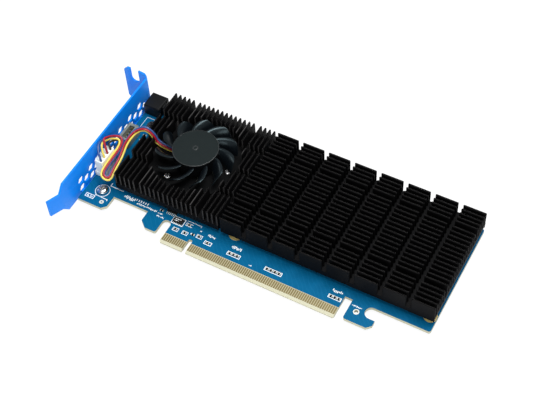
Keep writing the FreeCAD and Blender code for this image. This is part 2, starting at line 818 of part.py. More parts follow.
# Screws: each set of like screws is one group
def build_screws():
    under = -number("board_thick")
    bracket_set = [
        screw(number(x), number(y), 0, True, number("pan_radius"), number("pan_high"),
              number("screw_radius"), number("board_thick + sheet + 0.6"))
        for x, y in BRACKET_SCREWS
    ]
    solid_group("bracket_screws", Part.makeCompound(bracket_set))
    sink_set = []
    for x, y in SINK_SCREWS:
        top = "fan_sink_floor - 1.2" if x.startswith("fan") else "large_sink_floor - 0.8"
        sink_set.append(screw(number(x), number(y), under, False, number("rear_head_radius"),
                              number("rear_head_high"), number("screw_radius"),
                              number(top) - under))
    solid_group("heat_sink_screws", Part.makeCompound(sink_set))
    fan_set = []
    seat = number("fan_sink_floor + fan_plate_thick")
    for step in (0, 120, 240):
        turn = math.radians(number("fan_screw_turn") + step)
        x = number("fan_x") + number("fan_screw_circle") * math.cos(turn)
        y = number("fan_y") + number("fan_screw_circle") * math.sin(turn)
        fan_set.append(screw(x, y, seat, True, number("fan_head_radius"),
                             number("fan_head_high"), number("fan_screw_radius"),
                             number("fan_plate_thick") + 1.8))
    solid_group("fan_screws", Part.makeCompound(fan_set))


# Spacers: a six-sided sleeve round each heat sink screw, between board and sink
def build_spacers():
    sleeves = []
    for x, y in SINK_SCREWS:
        top = number("fan_sink_low" if x.startswith("fan") else "large_sink_low")
        middle = FreeCAD.Vector(number(x), number(y), 0)
        outer = prism(middle, number("spacer_radius"), 6, top)
        sleeves.append(outer.cut(rod(number("screw_radius"), 0, top, middle.x, middle.y)))
    solid_group("spacers", Part.makeCompound(sleeves))


# Processor chip with its thermal pad, under the middle of the fan
def build_switch_chip():
    half = number("chip_wide") / 2
    x = number("fan_x")
    y = number("fan_y")
    high = number("chip_high")
    chip = block(x - half, y - half, 0, x + half, y + half, high * 0.55)
    lid = block(x - half * 0.8, y - half * 0.8, high * 0.55, x + half * 0.8, y + half * 0.8, high)
    solid_group("switch_chip", chip.fuse(lid).removeSplitter())
    cover = block(x - half * 0.8, y - half * 0.8, high, x + half * 0.8, y + half * 0.8,
                  number("fan_sink_low"))
    solid_group("chip_thermal_pad", cover)


# Storage modules: two boards held at one end by a socket and at the other by a screw
def build_storage():
    left = number("module_left")
    right = left + number("module_long")
    low = number("module_low")
    high = low + number("module_thick")
    half = number("module_wide") / 2
    tongue_half = half - number("module_tongue_inset")
    top = high + number("storage_chip_high")
    chip_long = number("storage_chip_long")
    chip_half = number("storage_chip_half")
    socket_left = number("socket_left")
    socket_right = socket_left + number("socket_long")
    chips_from = socket_right + number("module_near_room")
    chip_step = (right - number("module_far_room") - chips_from - chip_long) / 2
    cover_left = socket_right + number("module_near_room") / 2
    cover_right = right - number("module_pad_room")
    sockets, boards, chips, covers, posts, screws = [], [], [], [], [], []
    for k in range(2):
        y = number("module_first_y") + k * number("module_step")
        shell = block(socket_left, y - half, 0, socket_right, y + half, number("socket_high"))
        tongue = block(left, y - tongue_half, low, socket_right, y + tongue_half, high)
        sockets.append(shell.cut(tongue))
        board = block(socket_right, y - half, low, right, y + half, high).fuse(tongue)
        notch = rod(number("module_notch"), low, high, right, y)
        boards.append(board.cut(notch).removeSplitter())
        for place in range(3):
            start = chips_from + place * chip_step
            chips.append(block(start, y - chip_half, high, start + chip_long, y + chip_half, top))
        covers.append(block(cover_left, y - half + 1, top, cover_right, y + half - 1,
                            number("large_sink_low")))
        post = rod(number("post_radius"), 0, low, right, y)
        posts.append(post.cut(rod(number("post_bore"), 0, low, right, y)))
        screws.append(screw(right, y, high, True, number("module_head_radius"),
                            number("module_head_high"), number("post_bore"), high))
    solid_group("module_sockets", Part.makeCompound(sockets))
    solid_group("storage_boards", Part.makeCompound(boards))
    solid_group("storage_chips", Part.makeCompound(chips))
    solid_group("storage_thermal_pads", Part.makeCompound(covers))
    solid_group("module_posts", Part.makeCompound(posts))
    solid_group("module_screws", Part.makeCompound(screws))


# Fan header on the board, its four pins, and the plug pushed on to it
def build_header():
    left = number("header_left")
    right = number("header_right")
    front = number("header_front")
    rear = number("header_rear")
    high = number("header_high")
    top = number("plug_high")
    pitch = number("pin_pitch")
    middle = (front + rear) / 2
    rows = [middle + (k - 1.5) * pitch for k in range(4)]
    pin_x = (left + right) / 2 + number("pin_aside")
    header = block(left, front, 0, right, rear, high)
    wall = block(left, front + 1.6, high, left + 0.9, rear - 1.6, top - 1.0)
    header = header.fuse(wall)
    pins = []
    for y in rows:
        pins.append(block(pin_x - 0.32, y - 0.32, 0, pin_x + 0.32, y + 0.32, top - 2.4))
    holes = Part.makeCompound(pins)
    solid_group("fan_header", header.cut(holes).removeSplitter())
    solid_group("header_pins", holes)
    plug = block(left + 1.0, front + 0.2, number("plug_low"), right, rear - 0.2, top)
    ribs = [block(left + 1.0, y - 0.5, top - 3.0, left + 1.6, y + 0.5, top) for y in rows[1:3]]
    plug = plug.cut(Part.makeCompound(ribs)).cut(holes)
    wire_x = pin_x + number("wire_aside")
    floor = top - number("wire_deep")
    half = number("wire_radius") + number("window_room")
    bores = [block(wire_x - half, y - half, floor, wire_x + half, y + half, top + 1) for y in rows]
    solid_group("fan_plug", plug.cut(Part.makeCompound(bores)).removeSplitter())


# Other connectors: the closed header behind the fan plug and the dark power socket
def build_connectors():
    left, right = number("side_left"), number("side_right")
    front, rear = number("side_front"), number("side_rear")
    wall = number("side_wall")
    floor = number("side_floor")
    body = block(left, front, 0, right, rear, number("side_high"))
    room = block(left + wall, front + wall, floor, right - wall, rear - wall, number("side_high"))
    solid_group("side_header", body.cut(room))
    middle_x = (left + right) / 2
    half = number("side_pin") / 2
    contacts = []
    for k in range(4):
        y = (front + rear) / 2 + (k - 1.5) * number("side_pin_step")
        contacts.append(block(middle_x - half, y - half, floor, middle_x + half, y + half,
                              number("side_pin_top")))
    solid_group("side_header_pins", Part.makeCompound(contacts))
    high = number("power_high")
    right = number("power_right")
    shell = block(number("power_left"), number("power_front"), 0, right, number("power_rear"), high)
    edges = [edge for edge in shell.Edges if edge.BoundBox.ZMin > high - 0.01]
    shell = shell.makeChamfer(number("power_edge"), edges)
    middle_y = number("(power_front + power_rear) / 2")
    latch_half = number("latch_long") / 2
    latch = block(right, middle_y - latch_half, number("latch_low"),
                  right + number("latch_out"), middle_y + latch_half, number("latch_high"))
    solid_group("power_header", shell.fuse(latch).removeSplitter())


# Places of the small soldered parts and of the small chips on the component face
FRONT_PARTS = [
    (-9.0, 8.7), (-4.3, 8.8), (-0.6, 9.5), (2.4, 9.9), (7.3, 8.5), (18.6, 8.3), (20.4, 8.3),
    (22.2, 8.3), (36.7, 8.5), (38.6, 8.5), (40.5, 8.5), (42.4, 8.5), (66.9, 8.7), (68.7, 8.7),
    (70.5, 8.7), (-4.6, 13.2), (-19.6, 14.6), (-46.4, 34.6), (-46.4, 38.2), (-46.2, 46.6),
    (-46.2, 49.4), (-49.6, 44.6), (-49.6, 48.0),
]
FRONT_CHIPS = [(-10.0, 13.0), (-15.0, 16.8)]


# Small soldered parts: a scatter in front with two small chips, and rows behind the processor
def build_small_parts():
    half_x, half_y = number("front_part_long") / 2, number("front_part_wide") / 2
    high = number("front_part_high")
    front = [block(x - half_x, y - half_y, 0, x + half_x, y + half_y, high)
             for x, y in FRONT_PARTS]
    half_x, half_y = number("front_chip_long") / 2, number("front_chip_wide") / 2
    high = number("front_chip_high")
    front += [block(x - half_x, y - half_y, 0, x + half_x, y + half_y, high)
              for x, y in FRONT_CHIPS]
    solid_group("small_parts_front", Part.makeCompound(front))
    half_x, half_y = number("rear_part_long") / 2, number("rear_part_wide") / 2
    under = -number("board_thick")
    low = under - number("rear_part_high")
    rear = [block(x - half_x, y - half_y, low, x + half_x, y + half_y, under)
            for x in range(-30, -5, 4) for y in range(30, 55, 6)]
    solid_group("small_parts_rear", Part.makeCompound(rear))


def wire_line(points):
    """The middle line of a wire: straight pieces joined by arcs, each arc drawn in chords."""
    corners = [FreeCAD.Vector(*point) for point in points]
    line = [corners[0]]
    radii = []
    for k in range(1, len(corners) - 1):
        before = corners[k] - corners[k - 1]
        after = corners[k + 1] - corners[k]
        turn = before.getAngle(after)
        trim = 0.45 * min(before.Length, after.Length)
        radii.append(trim / math.tan(turn / 2))
        axis = before.cross(after)
        first = corners[k] - before.normalize() * trim
        centre = first + axis.cross(before).normalize() * radii[-1]
        chords = max(2, math.ceil(math.degrees(turn) / 25))
        for step in range(chords + 1):
            spin = FreeCAD.Rotation(axis, math.degrees(turn) * step / chords)
            line.append(centre + spin.multVec(first - centre))
    line.append(corners[-1])
    return line, radii


# A wire: a tube with eight flat sides along its middle line, mitred where the line turns
def wire_along(points, radius):
    line, radii = wire_line(points)
    sides = 8
    reach = radius * math.sqrt(2 * math.pi / (sides * math.sin(2 * math.pi / sides)))
    spin = FreeCAD.Rotation(FreeCAD.Vector(0, 0, 1), line[1] - line[0])
    ring = []
    for k in range(sides):
        turn = 2 * math.pi * k / sides
        corner = FreeCAD.Vector(reach * math.cos(turn), reach * math.sin(turn), 0)
        ring.append(line[0] + spin.multVec(corner))
    faces = [Part.Face(Part.makePolygon(ring + ring[:1]))]
    area = faces[0].Area
    for k in range(1, len(line)):
        along = (line[k] - line[k - 1]).normalize()
        mitre = along
        if k + 1 < len(line):
            mitre = along + (line[k + 1] - line[k]).normalize()
        moved = [corner + along * ((line[k] - corner).dot(mitre) / along.dot(mitre))
                 for corner in ring]
        for side in range(sides):
            beside = (side + 1) % sides
            outline = [ring[side], ring[beside], moved[beside], moved[side], ring[side]]
            faces.append(Part.Face(Part.makePolygon(outline)))
        ring = moved
    faces.append(Part.Face(Part.makePolygon(ring + ring[:1])))
    shell = Part.makeShell(faces)
    shell.sewShape()
    solid = Part.makeSolid(shell)
    length = sum((line[k] - line[k - 1]).Length for k in range(1, len(line)))
    print("radii", " ".join("%.1f" % value for value in radii),
          "volume ratio %.3f" % (solid.Volume / (area * length)), "length %.1f" % length)
    return solid


# The bundle of four wires, from the fan's board, through a cross cut, down the side of the
# heat sink, folded back in front of the plug and round behind it
BUNDLE_ROUTE = [
    (-26.25, 42.2, 6.45), (-37.6, 42.2, 6.45), (-39.4, 42.2, 12.4), (-43.0, 41.6, 15.8),
    (-47.6, 39.8, 13.2), (-49.6, 34.0, 9.8), (-48.6, 28.0, 7.2), (-48.2, 21.0, 6.2),
    (-47.3, 15.4, 5.2), (-51.0, 15.2, 7.0), (-51.0, 21.5, 8.5), (-51.1, 31.5, 8.5),
    (-53.2, 36.4, 9.2),
]
# Each wire: its place in the bundle (aside, above), then its own way over the plug
WIRE_ENDS = {
    "wire_red": (-1, 1, [(-56.0, 34.0, 11.6), (-56.2, 30.8, 14.1), (-56.3, 27.5, 16.2),
                         (-54.6, 25.8, 13.8)]),
    "wire_blue": (1, 1, [(-57.0, 34.2, 10.8), (-57.5, 30.4, 13.0), (-57.5, 24.8, 15.4),
                         (-55.3, 21.2, 13.6)]),
    "wire_yellow": (-1, -1, [(-56.0, 33.0, 10.7), (-56.3, 30.1, 12.8), (-56.4, 25.8, 14.9),
                             (-54.8, 23.4, 13.0)]),
    "wire_black": (1, -1, [(-56.4, 32.6, 9.2), (-55.3, 30.0, 11.4), (-54.6, 28.6, 12.6)]),
}


def strand(route, aside, above):
    """The route of one wire that keeps its place beside the centre of the bundle."""
    points = [FreeCAD.Vector(*point) for point in route]
    offset = FreeCAD.Vector(0, aside, above) * number("bundle_half")
    moved = [points[0] + offset]
    for k in range(1, len(points) - 1):
        before = (points[k] - points[k - 1]).normalize()
        after = (points[k + 1] - points[k]).normalize()
        axis = before.cross(after).normalize()
        across = offset.dot(axis.cross(before))
        along_axis = axis * offset.dot(axis)
        share = across / (1 + before.dot(after))
        moved.append(points[k] + along_axis + (axis.cross(before) + axis.cross(after)) * share)
        offset = along_axis + axis.cross(after) * across
    return moved


# Wires: each runs whole from the fan's board into its hole in the plug
def build_wires():
    middle = number("(header_front + header_rear) / 2")
    pin_x = number("(header_left + header_right) / 2 + pin_aside + wire_aside")
    holes = {"wire_blue": -1.5, "wire_yellow": -0.5, "wire_red": 0.5, "wire_black": 1.5}
    floor = number("plug_high - wire_deep")
    for name, (aside, above, tail) in WIRE_ENDS.items():
        y = middle + holes[name] * number("pin_pitch")
        points = strand(BUNDLE_ROUTE + [tail[0]], aside, above)
        points += [FreeCAD.Vector(*point) for point in tail]
        points.append(FreeCAD.Vector(pin_x, y, number("plug_high") + 0.5))
        points.append(FreeCAD.Vector(pin_x, y, floor))
        print(name)
        solid_group(name, wire_along(points, number("wire_radius")))


for build in (build_board, build_contacts, build_bracket, build_fan_sink,
              build_large_sink, build_impeller, build_motor, build_screws, build_spacers,
              build_switch_chip, build_storage, build_header, build_connectors,
              build_small_parts, build_wires):
    build()

document.recompute()
for item in document.Objects:
    if "Invalid" in item.State or "Error" in item.State:
        raise RuntimeError("not built: " + item.Label)
os.makedirs("parts", exist_ok=True)
for part in parts:
    if part.Shape.isNull() or not part.Shape.isValid():
        raise RuntimeError("no valid shape: " + part.Label)
    print(part.Label, round(part.Shape.Volume, 1), len(part.Shape.Solids))
    part.Shape.exportStep("parts/" + part.Label + ".step")
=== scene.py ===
import json
import math

import bmesh
import bpy
import numpy as np
from mathutils import Matrix, Vector


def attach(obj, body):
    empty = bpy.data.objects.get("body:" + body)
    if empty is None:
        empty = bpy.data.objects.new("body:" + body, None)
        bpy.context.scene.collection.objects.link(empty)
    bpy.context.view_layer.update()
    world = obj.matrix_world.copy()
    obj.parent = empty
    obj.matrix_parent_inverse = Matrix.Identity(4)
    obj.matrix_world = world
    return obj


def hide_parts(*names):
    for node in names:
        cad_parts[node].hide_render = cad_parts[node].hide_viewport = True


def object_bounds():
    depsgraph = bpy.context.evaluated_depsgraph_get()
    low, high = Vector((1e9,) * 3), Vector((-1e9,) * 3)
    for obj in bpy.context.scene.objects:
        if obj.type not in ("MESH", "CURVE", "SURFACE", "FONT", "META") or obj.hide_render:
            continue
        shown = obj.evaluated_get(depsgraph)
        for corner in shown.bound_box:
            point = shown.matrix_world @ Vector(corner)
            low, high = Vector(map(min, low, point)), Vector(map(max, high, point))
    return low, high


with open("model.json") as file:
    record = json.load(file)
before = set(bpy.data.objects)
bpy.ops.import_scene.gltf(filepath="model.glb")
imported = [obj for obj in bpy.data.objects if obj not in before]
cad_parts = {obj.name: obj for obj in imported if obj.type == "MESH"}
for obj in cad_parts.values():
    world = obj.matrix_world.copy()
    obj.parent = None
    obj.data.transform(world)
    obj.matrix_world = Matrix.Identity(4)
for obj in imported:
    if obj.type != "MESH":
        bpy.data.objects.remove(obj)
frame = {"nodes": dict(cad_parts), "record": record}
cad_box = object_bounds()
MM = 0.001

# Camera at the photograph's angle: its length of focus in pixels, and its place and axes in metres
SENSOR_WIDTH = 36.0
FOCUS_PIXELS = 1196.1
WIDTH_PIXELS = 533
CAMERA_PLACE = (0.18838, -0.23097, 0.42125)
CAMERA_RIGHT = (0.8766, 0.4792, -0.0439)
CAMERA_UP = (-0.35899, 0.71192, 0.60356)
CAMERA_BACK = (0.32047, -0.51333, 0.79611)


def build_camera():
    data = bpy.data.cameras.new("camera")
    data.sensor_width = SENSOR_WIDTH
    data.lens = SENSOR_WIDTH * FOCUS_PIXELS / WIDTH_PIXELS
    data.clip_start = 0.01
    data.clip_end = 20.0
    camera = bpy.data.objects.new("camera", data)
    turn = Matrix((CAMERA_RIGHT, CAMERA_UP, CAMERA_BACK)).transposed().to_4x4()
    camera.matrix_world = Matrix.Translation(CAMERA_PLACE) @ turn
    bpy.context.scene.collection.objects.link(camera)
    bpy.context.scene.camera = camera


build_camera()


# Node helpers for the materials
def new_material(name):
    material = bpy.data.materials.new(name)
    material.use_nodes = True
    tree = material.node_tree
    shader = tree.nodes["Principled BSDF"]
    return material, tree, shader


def add(tree, kind, **values):
    node = tree.nodes.new(kind)
    for key, value in values.items():
        setattr(node, key, value)
    return node


def surface_group():
    """Mottled colour, roughness and height: the first colour drifts to the second by soft noise,
    and a finer noise sets roughness and height."""
    group = bpy.data.node_groups.new("mottle", "ShaderNodeTree")
    face = group.interface
    for label, kind, value in (
        ("Scale", "NodeSocketFloat", 400.0),
        ("Fine scale", "NodeSocketFloat", 3000.0),
        ("Low roughness", "NodeSocketFloat", 0.4),
        ("High roughness", "NodeSocketFloat", 0.6),
        ("First colour", "NodeSocketColor", (0.5, 0.5, 0.5, 1)),
        ("Second colour", "NodeSocketColor", (0.4, 0.4, 0.4, 1)),
    ):
        socket = face.new_socket(label, in_out="INPUT", socket_type=kind)
        socket.default_value = value
    face.new_socket("Color", in_out="OUTPUT", socket_type="NodeSocketColor")
    face.new_socket("Roughness", in_out="OUTPUT", socket_type="NodeSocketFloat")
    face.new_socket("Height", in_out="OUTPUT", socket_type="NodeSocketFloat")
    source = group.nodes.new("NodeGroupInput")
    result = group.nodes.new("NodeGroupOutput")
    place = group.nodes.new("ShaderNodeTexCoord")
    wide = group.nodes.new("ShaderNodeTexNoise")
    fine = group.nodes.new("ShaderNodeTexNoise")
    fine.inputs["Detail"].default_value = 4.0
    mix = add(group, "ShaderNodeMix", data_type="RGBA")
    rough = add(group, "ShaderNodeMapRange")
    join = group.links.new
    join(place.outputs["Object"], wide.inputs["Vector"])
    join(place.outputs["Object"], fine.inputs["Vector"])
    join(source.outputs["Scale"], wide.inputs["Scale"])
    join(source.outputs["Fine scale"], fine.inputs["Scale"])
    join(wide.outputs["Fac"], mix.inputs["Factor"])
    join(source.outputs["First colour"], mix.inputs["A"])
    join(source.outputs["Second colour"], mix.inputs["B"])
    join(fine.outputs["Fac"], rough.inputs["Value"])
    join(source.outputs["Low roughness"], rough.inputs["To Min"])
    join(source.outputs["High roughness"], rough.inputs["To Max"])
    join(mix.outputs["Result"], result.inputs["Color"])
    join(rough.outputs["Result"], result.inputs["Roughness"])
    join(fine.outputs["Fac"], result.inputs["Height"])
    return group


MOTTLE = surface_group()
RELIEF_DEPTH = 0.0001


def finish_material(name, first, second, rough, metal=0.0, scale=300.0, fine=2500.0, bump=0.05,
                    specular=0.5):
    """A surface whose colour drifts between two tones, with fine uneven gloss and relief."""
    material, tree, shader = new_material(name)
    mottle = add(tree, "ShaderNodeGroup", node_tree=MOTTLE)
    mottle.inputs["Scale"].default_value = scale
    mottle.inputs["Fine scale"].default_value = fine
    mottle.inputs["Low roughness"].default_value = rough[0]
    mottle.inputs["High roughness"].default_value = rough[1]
    mottle.inputs["First colour"].default_value = (*first, 1)
    mottle.inputs["Second colour"].default_value = (*second, 1)
    relief = add(tree, "ShaderNodeBump")
    relief.inputs["Strength"].default_value = bump
    relief.inputs["Distance"].default_value = RELIEF_DEPTH
    join = tree.links.new
    join(mottle.outputs["Color"], shader.inputs["Base Color"])
    join(mottle.outputs["Roughness"], shader.inputs["Roughness"])
    join(mottle.outputs["Height"], relief.inputs["Height"])
    join(relief.outputs["Normal"], shader.inputs["Normal"])
    shader.inputs["Metallic"].default_value = metal
    shader.inputs["Specular IOR Level"].default_value = specular
    return material


def coordinate(tree, kind, axis):
    """One axis of the surface point or its normal, as a socket."""
    place = add(tree, "ShaderNodeTexCoord")
    split = add(tree, "ShaderNodeSeparateXYZ")
    tree.links.new(place.outputs[kind], split.inputs[0])
    return split.outputs[axis]


def reckon(tree, operation, first, second=None):
    """A sum on one or two values, each a socket or a number; the answer is a socket."""
    step = add(tree, "ShaderNodeMath", operation=operation)
    for value, socket in zip((first, second), step.inputs):
        if isinstance(value, (int, float)):
            socket.default_value = value
        elif value is not None:
            tree.links.new(value, socket)
    return step.outputs[0]


def lay_over(tree, mask, colour):
    """A second colour over the material's own one where the mask is one."""
    shader = tree.nodes["Principled BSDF"]
    under = shader.inputs["Base Color"].links[0].from_socket
    mix = add(tree, "ShaderNodeMix", data_type="RGBA")
    mix.inputs["B"].default_value = (*colour, 1)
    tree.links.new(mask, mix.inputs["Factor"])
    tree.links.new(under, mix.inputs["A"])
    tree.links.new(mix.outputs["Result"], shader.inputs["Base Color"])


def anodised_material():
    """Black anodised metal with a painted highlight on the fin tops, which lie highest, and on the
    upright corners of the smaller sink's fins, where the normal's X and Y are both large."""
    corner_slant = 0.45
    small_sink_right = 0.0095
    fin_top = 0.01222
    painted_highlight = (0.05, 0.048, 0.048)
    material = finish_material("black anodised", (0.0022, 0.0022, 0.0026),
                               (0.004, 0.0038, 0.0042), (0.5, 0.66), scale=500, fine=4000,
                               bump=0.06, specular=0.08)
    tree = material.node_tree
    slant = reckon(tree, "MULTIPLY", coordinate(tree, "Normal", "X"),
                   coordinate(tree, "Normal", "Y"))
    corner = reckon(tree, "GREATER_THAN", reckon(tree, "ABSOLUTE", slant), corner_slant)
    beside_fan = reckon(tree, "LESS_THAN", coordinate(tree, "Object", "X"), small_sink_right)
    corner = reckon(tree, "MULTIPLY", corner, beside_fan)
    top = reckon(tree, "GREATER_THAN", coordinate(tree, "Object", "Z"), fin_top)
    # Painted highlight: the fin tops and the small sink's slanted corners are made paler
    lay_over(tree, reckon(tree, "MAXIMUM", corner, top), painted_highlight)
    return material


def hub_material():
    """Moulded fan plastic with a fine grain on top, smoother where the surface slopes at the rim
    and the middle dimple, with a painted highlight there; the wall below, which faces sideways, has
    painted shade."""
    rim_slope = 0.96
    wall_slope = 0.4
    rim_smoothing = 0.6
    material = finish_material("fan plastic", (0.0038, 0.0082, 0.0088), (0.0065, 0.0115, 0.012),
                               (0.42, 0.52), scale=300, bump=0.04, specular=0.21)
    tree = material.node_tree
    shader = tree.nodes["Principled BSDF"]
    slope = coordinate(tree, "Normal", "Z")
    rim = reckon(tree, "LESS_THAN", slope, rim_slope)
    # Painted highlight on the sloped rim and the middle dimple
    lay_over(tree, rim, (0.03, 0.034, 0.035))
    # Painted shade on the sideways wall of the cup
    lay_over(tree, reckon(tree, "LESS_THAN", slope, wall_slope), (0.0025, 0.003, 0.0035))
    grain = shader.inputs["Roughness"].links[0].from_socket
    keep = reckon(tree, "SUBTRACT", 1.0, reckon(tree, "MULTIPLY", rim, rim_smoothing))
    tree.links.new(reckon(tree, "MULTIPLY", grain, keep), shader.inputs["Roughness"])
    return material


def board_material():
    """Blue mask over pale fibre: bare at the cut sides, the bevel and between the contacts; faint
    lighter tracks run under the mask."""
    track = (0.014, 0.16, 0.34)
    fibre = (0.46, 0.42, 0.28)
    cut_side = (0.52, 0.51, 0.38)
    tongue_left = -0.0122
    tongue_right = 0.0722
    tongue_top = 0.0052
    flat_slope = 0.97
    material = finish_material("board mask", (0.0, 0.086, 0.2), (0.0005, 0.108, 0.24),
                               (0.36, 0.48), scale=220, fine=1800, bump=0.04,
                               specular=0.06)
    tree = material.node_tree
    stripe = add(tree, "ShaderNodeTexWave", bands_direction="DIAGONAL")
    stripe.inputs["Scale"].default_value = 260.0
    stripe.inputs["Distortion"].default_value = 3.0
    stripe.inputs["Detail"].default_value = 0.0
    place = add(tree, "ShaderNodeTexCoord")
    tree.links.new(place.outputs["Object"], stripe.inputs["Vector"])
    fade = add(tree, "ShaderNodeMapRange")
    fade.inputs["From Min"].default_value = 0.8
    fade.inputs["To Max"].default_value = 0.16
    tree.links.new(stripe.outputs["Fac"], fade.inputs["Value"])
    lay_over(tree, fade.outputs["Result"], track)
    x = coordinate(tree, "Object", "X")
    low = reckon(tree, "LESS_THAN", coordinate(tree, "Object", "Y"), tongue_top)
    inside = reckon(tree, "MULTIPLY", reckon(tree, "GREATER_THAN", x, tongue_left),
                    reckon(tree, "LESS_THAN", x, tongue_right))
    tongue = reckon(tree, "MULTIPLY", low, inside)
    upright = reckon(tree, "ABSOLUTE", coordinate(tree, "Normal", "Z"))
    lay_over(tree, tongue, fibre)
    lay_over(tree, reckon(tree, "LESS_THAN", upright, flat_slope), cut_side)
    return material


FINISHES = {
    "board_mask": board_material(),
    "gold_plate": finish_material("gold plate", (0.155, 0.122, 0.05), (0.23, 0.185, 0.075),
                                  (0.35, 0.5), metal=0.4, bump=0.02),
    "bracket_paint": finish_material("bracket blue", (0.0, 0.2, 0.8), (0.003, 0.24, 0.88),
                                     (0.36, 0.48), scale=200, bump=0.03, specular=0.2),
    "black_anodised": anodised_material(),
    "fan_plastic": hub_material(),
    "blade_gloss": finish_material("glossy blades", (0.002, 0.003, 0.0045),
                                   (0.003, 0.0045, 0.006), (0.24, 0.34), scale=300, bump=0.02,
                                   specular=0.42),
    "connector_grey": finish_material("connector grey", (0.16, 0.18, 0.16), (0.22, 0.24, 0.21),
                                      (0.35, 0.5), bump=0.05),
    "dark_steel": finish_material("dark steel", (0.05, 0.05, 0.05), (0.08, 0.08, 0.08),
                                  (0.4, 0.55), metal=0.6),
    "screw_steel": finish_material("screw steel", (0.55, 0.55, 0.56), (0.62, 0.62, 0.62),
                                   (0.18, 0.32), metal=1.0, bump=0.02),
    "copper_winding": finish_material("copper winding", (0.4, 0.14, 0.05), (0.5, 0.2, 0.08),
                                      (0.3, 0.5), metal=0.8),
    "chip_black": finish_material("chip body", (0.006, 0.006, 0.006), (0.012, 0.012, 0.012),
                                  (0.5, 0.7), bump=0.1, specular=0.15),
    "thermal_pad": finish_material("thermal pad", (0.25, 0.26, 0.28), (0.3, 0.31, 0.33),
                                   (0.7, 0.9), bump=0.2),
    "connector_black": finish_material("connector black", (0.003, 0.0035, 0.004),
                                       (0.005, 0.0055, 0.006), (0.4, 0.55), bump=0.08,
                                       specular=0.2),
    "frame_black": finish_material("fan frame", (0.002, 0.0022, 0.0025),
                                   (0.003, 0.0033, 0.0037), (0.5, 0.65), bump=0.05,
                                   specular=0.08),
    "connector_white": finish_material("connector white", (0.85, 0.88, 0.8), (0.92, 0.93, 0.86),
                                       (0.35, 0.5), bump=0.05),
    "ceramic": finish_material("ceramic parts", (0.34, 0.26, 0.17), (0.5, 0.45, 0.38),
                               (0.4, 0.6), scale=900),
    "wire_red": finish_material("red insulation", (0.33, 0.006, 0.022), (0.4, 0.01, 0.03),
                                (0.25, 0.4)),
    "wire_blue": finish_material("blue insulation", (0.035, 0.075, 0.24), (0.05, 0.1, 0.3),
                                 (0.25, 0.4)),
    "wire_yellow": finish_material("yellow insulation", (0.76, 0.58, 0.07), (0.84, 0.68, 0.14),
                                   (0.25, 0.4)),
    # A lighter copy of the gold plate: painted light that makes up for the sink's shadow on the
    # front rings
    "lit_ring_gold": finish_material("plated rings", (0.62, 0.48, 0.16), (0.72, 0.58, 0.22),
                                 (0.3, 0.45), metal=0.2, bump=0.02),
    "print_white": finish_material("print white", (0.85, 0.9, 0.92), (0.92, 0.94, 0.94),
                                   (0.5, 0.65)),
    "solder": finish_material("solder", (0.7, 0.7, 0.62), (0.8, 0.8, 0.72), (0.25, 0.4),
                              metal=0.3),
    "wire_black": finish_material("black insulation", (0.02, 0.02, 0.025), (0.03, 0.03, 0.035),
                                  (0.35, 0.5)),
}

# The blades shine a little blue
BLADE_SHADER = FINISHES["blade_gloss"].node_tree.nodes["Principled BSDF"]
BLADE_SHADER.inputs["Specular Tint"].default_value = (0.7, 0.93, 1.0, 1)

# Every CAD node takes the finish of its slot; the fan's frame alone is duller than its slot's
SLOTS = {part["node"]: part["material_slot"] for part in frame["record"]["subparts"]}
for name, node in frame["nodes"].items():
    for held in node.material_slots:
        held.material = FINISHES[SLOTS[name]]
frame["nodes"]["fan_frame"].material_slots[0].material = FINISHES["frame_black"]


# Shapes worked out with numpy
def make_piece(name, vertices, faces, material, body="card", smooth=False, stands_for=()):
    """A mesh from vertex rows in metres and face rows, riding on a body."""
    mesh = bpy.data.meshes.new(name)
    mesh.from_pydata(np.asarray(vertices).tolist(), [], [list(map(int, face)) for face in faces])
    mesh.validate()
    if smooth:
        mesh.shade_smooth()
    else:
        mesh.shade_flat()
    mesh.materials.append(FINISHES[material])
    piece = bpy.data.objects.new(name, mesh)
    bpy.context.scene.collection.objects.link(piece)
    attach(piece, body)
    if stands_for:
        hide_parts(*stands_for)
    return piece


def eased_blocks(footprints, low, high, ease):
    """Blocks on four-cornered footprints: each upright edge is cut back by ease, the walls rise
    straight to high - ease and then lean in by ease.

    footprints is (n, 4, 2), anticlockwise, in millimetres; low and high are numbers or (n,) rows.
    """
    feet = np.asarray(footprints, dtype=float)
    low = np.broadcast_to(low, (len(feet),))
    high = np.broadcast_to(high, (len(feet),))
    if ease > 0:
        back = np.roll(feet, 1, axis=1) - feet
        ahead = np.roll(feet, -1, axis=1) - feet
        back *= ease / np.linalg.norm(back, axis=-1, keepdims=True)
        ahead *= ease / np.linalg.norm(ahead, axis=-1, keepdims=True)
        feet = np.stack([feet + back, feet + ahead], axis=2).reshape(len(feet), 8, 2)
    count, sides = feet.shape[:2]
    away = feet - feet.mean(axis=1, keepdims=True)
    reach = np.abs(away).max(axis=1, keepdims=True)
    tops = feet - np.where(np.abs(away) > reach - 1.5 * ease - 1e-6, np.sign(away) * ease, 0)
    levels = ((feet, low), (feet, high - ease), (tops, high))
    rings = [np.concatenate([ring, np.repeat(level[:, None, None], sides, axis=1)], axis=2)
             for ring, level in levels]
    vertices = np.stack(rings, axis=1).reshape(-1, 3) * MM
    start = 3 * sides * np.arange(count)[:, None, None]
    walls = (grid_faces(3, sides)[None] + start).reshape(-1, 4).tolist()
    ends = np.stack([np.arange(sides)[::-1], 2 * sides + np.arange(sides)])
    return vertices, walls + (ends[None] + start).reshape(-1, sides).tolist()


def footprint(left, front, right, rear):
    """Rows of rectangle corners, anticlockwise, from four rows of limits."""
    left, front, right, rear = np.broadcast_arrays(left, front, right, rear)
    return np.stack([np.stack([left, front], -1), np.stack([right, front], -1),
                     np.stack([right, rear], -1), np.stack([left, rear], -1)], axis=-2)


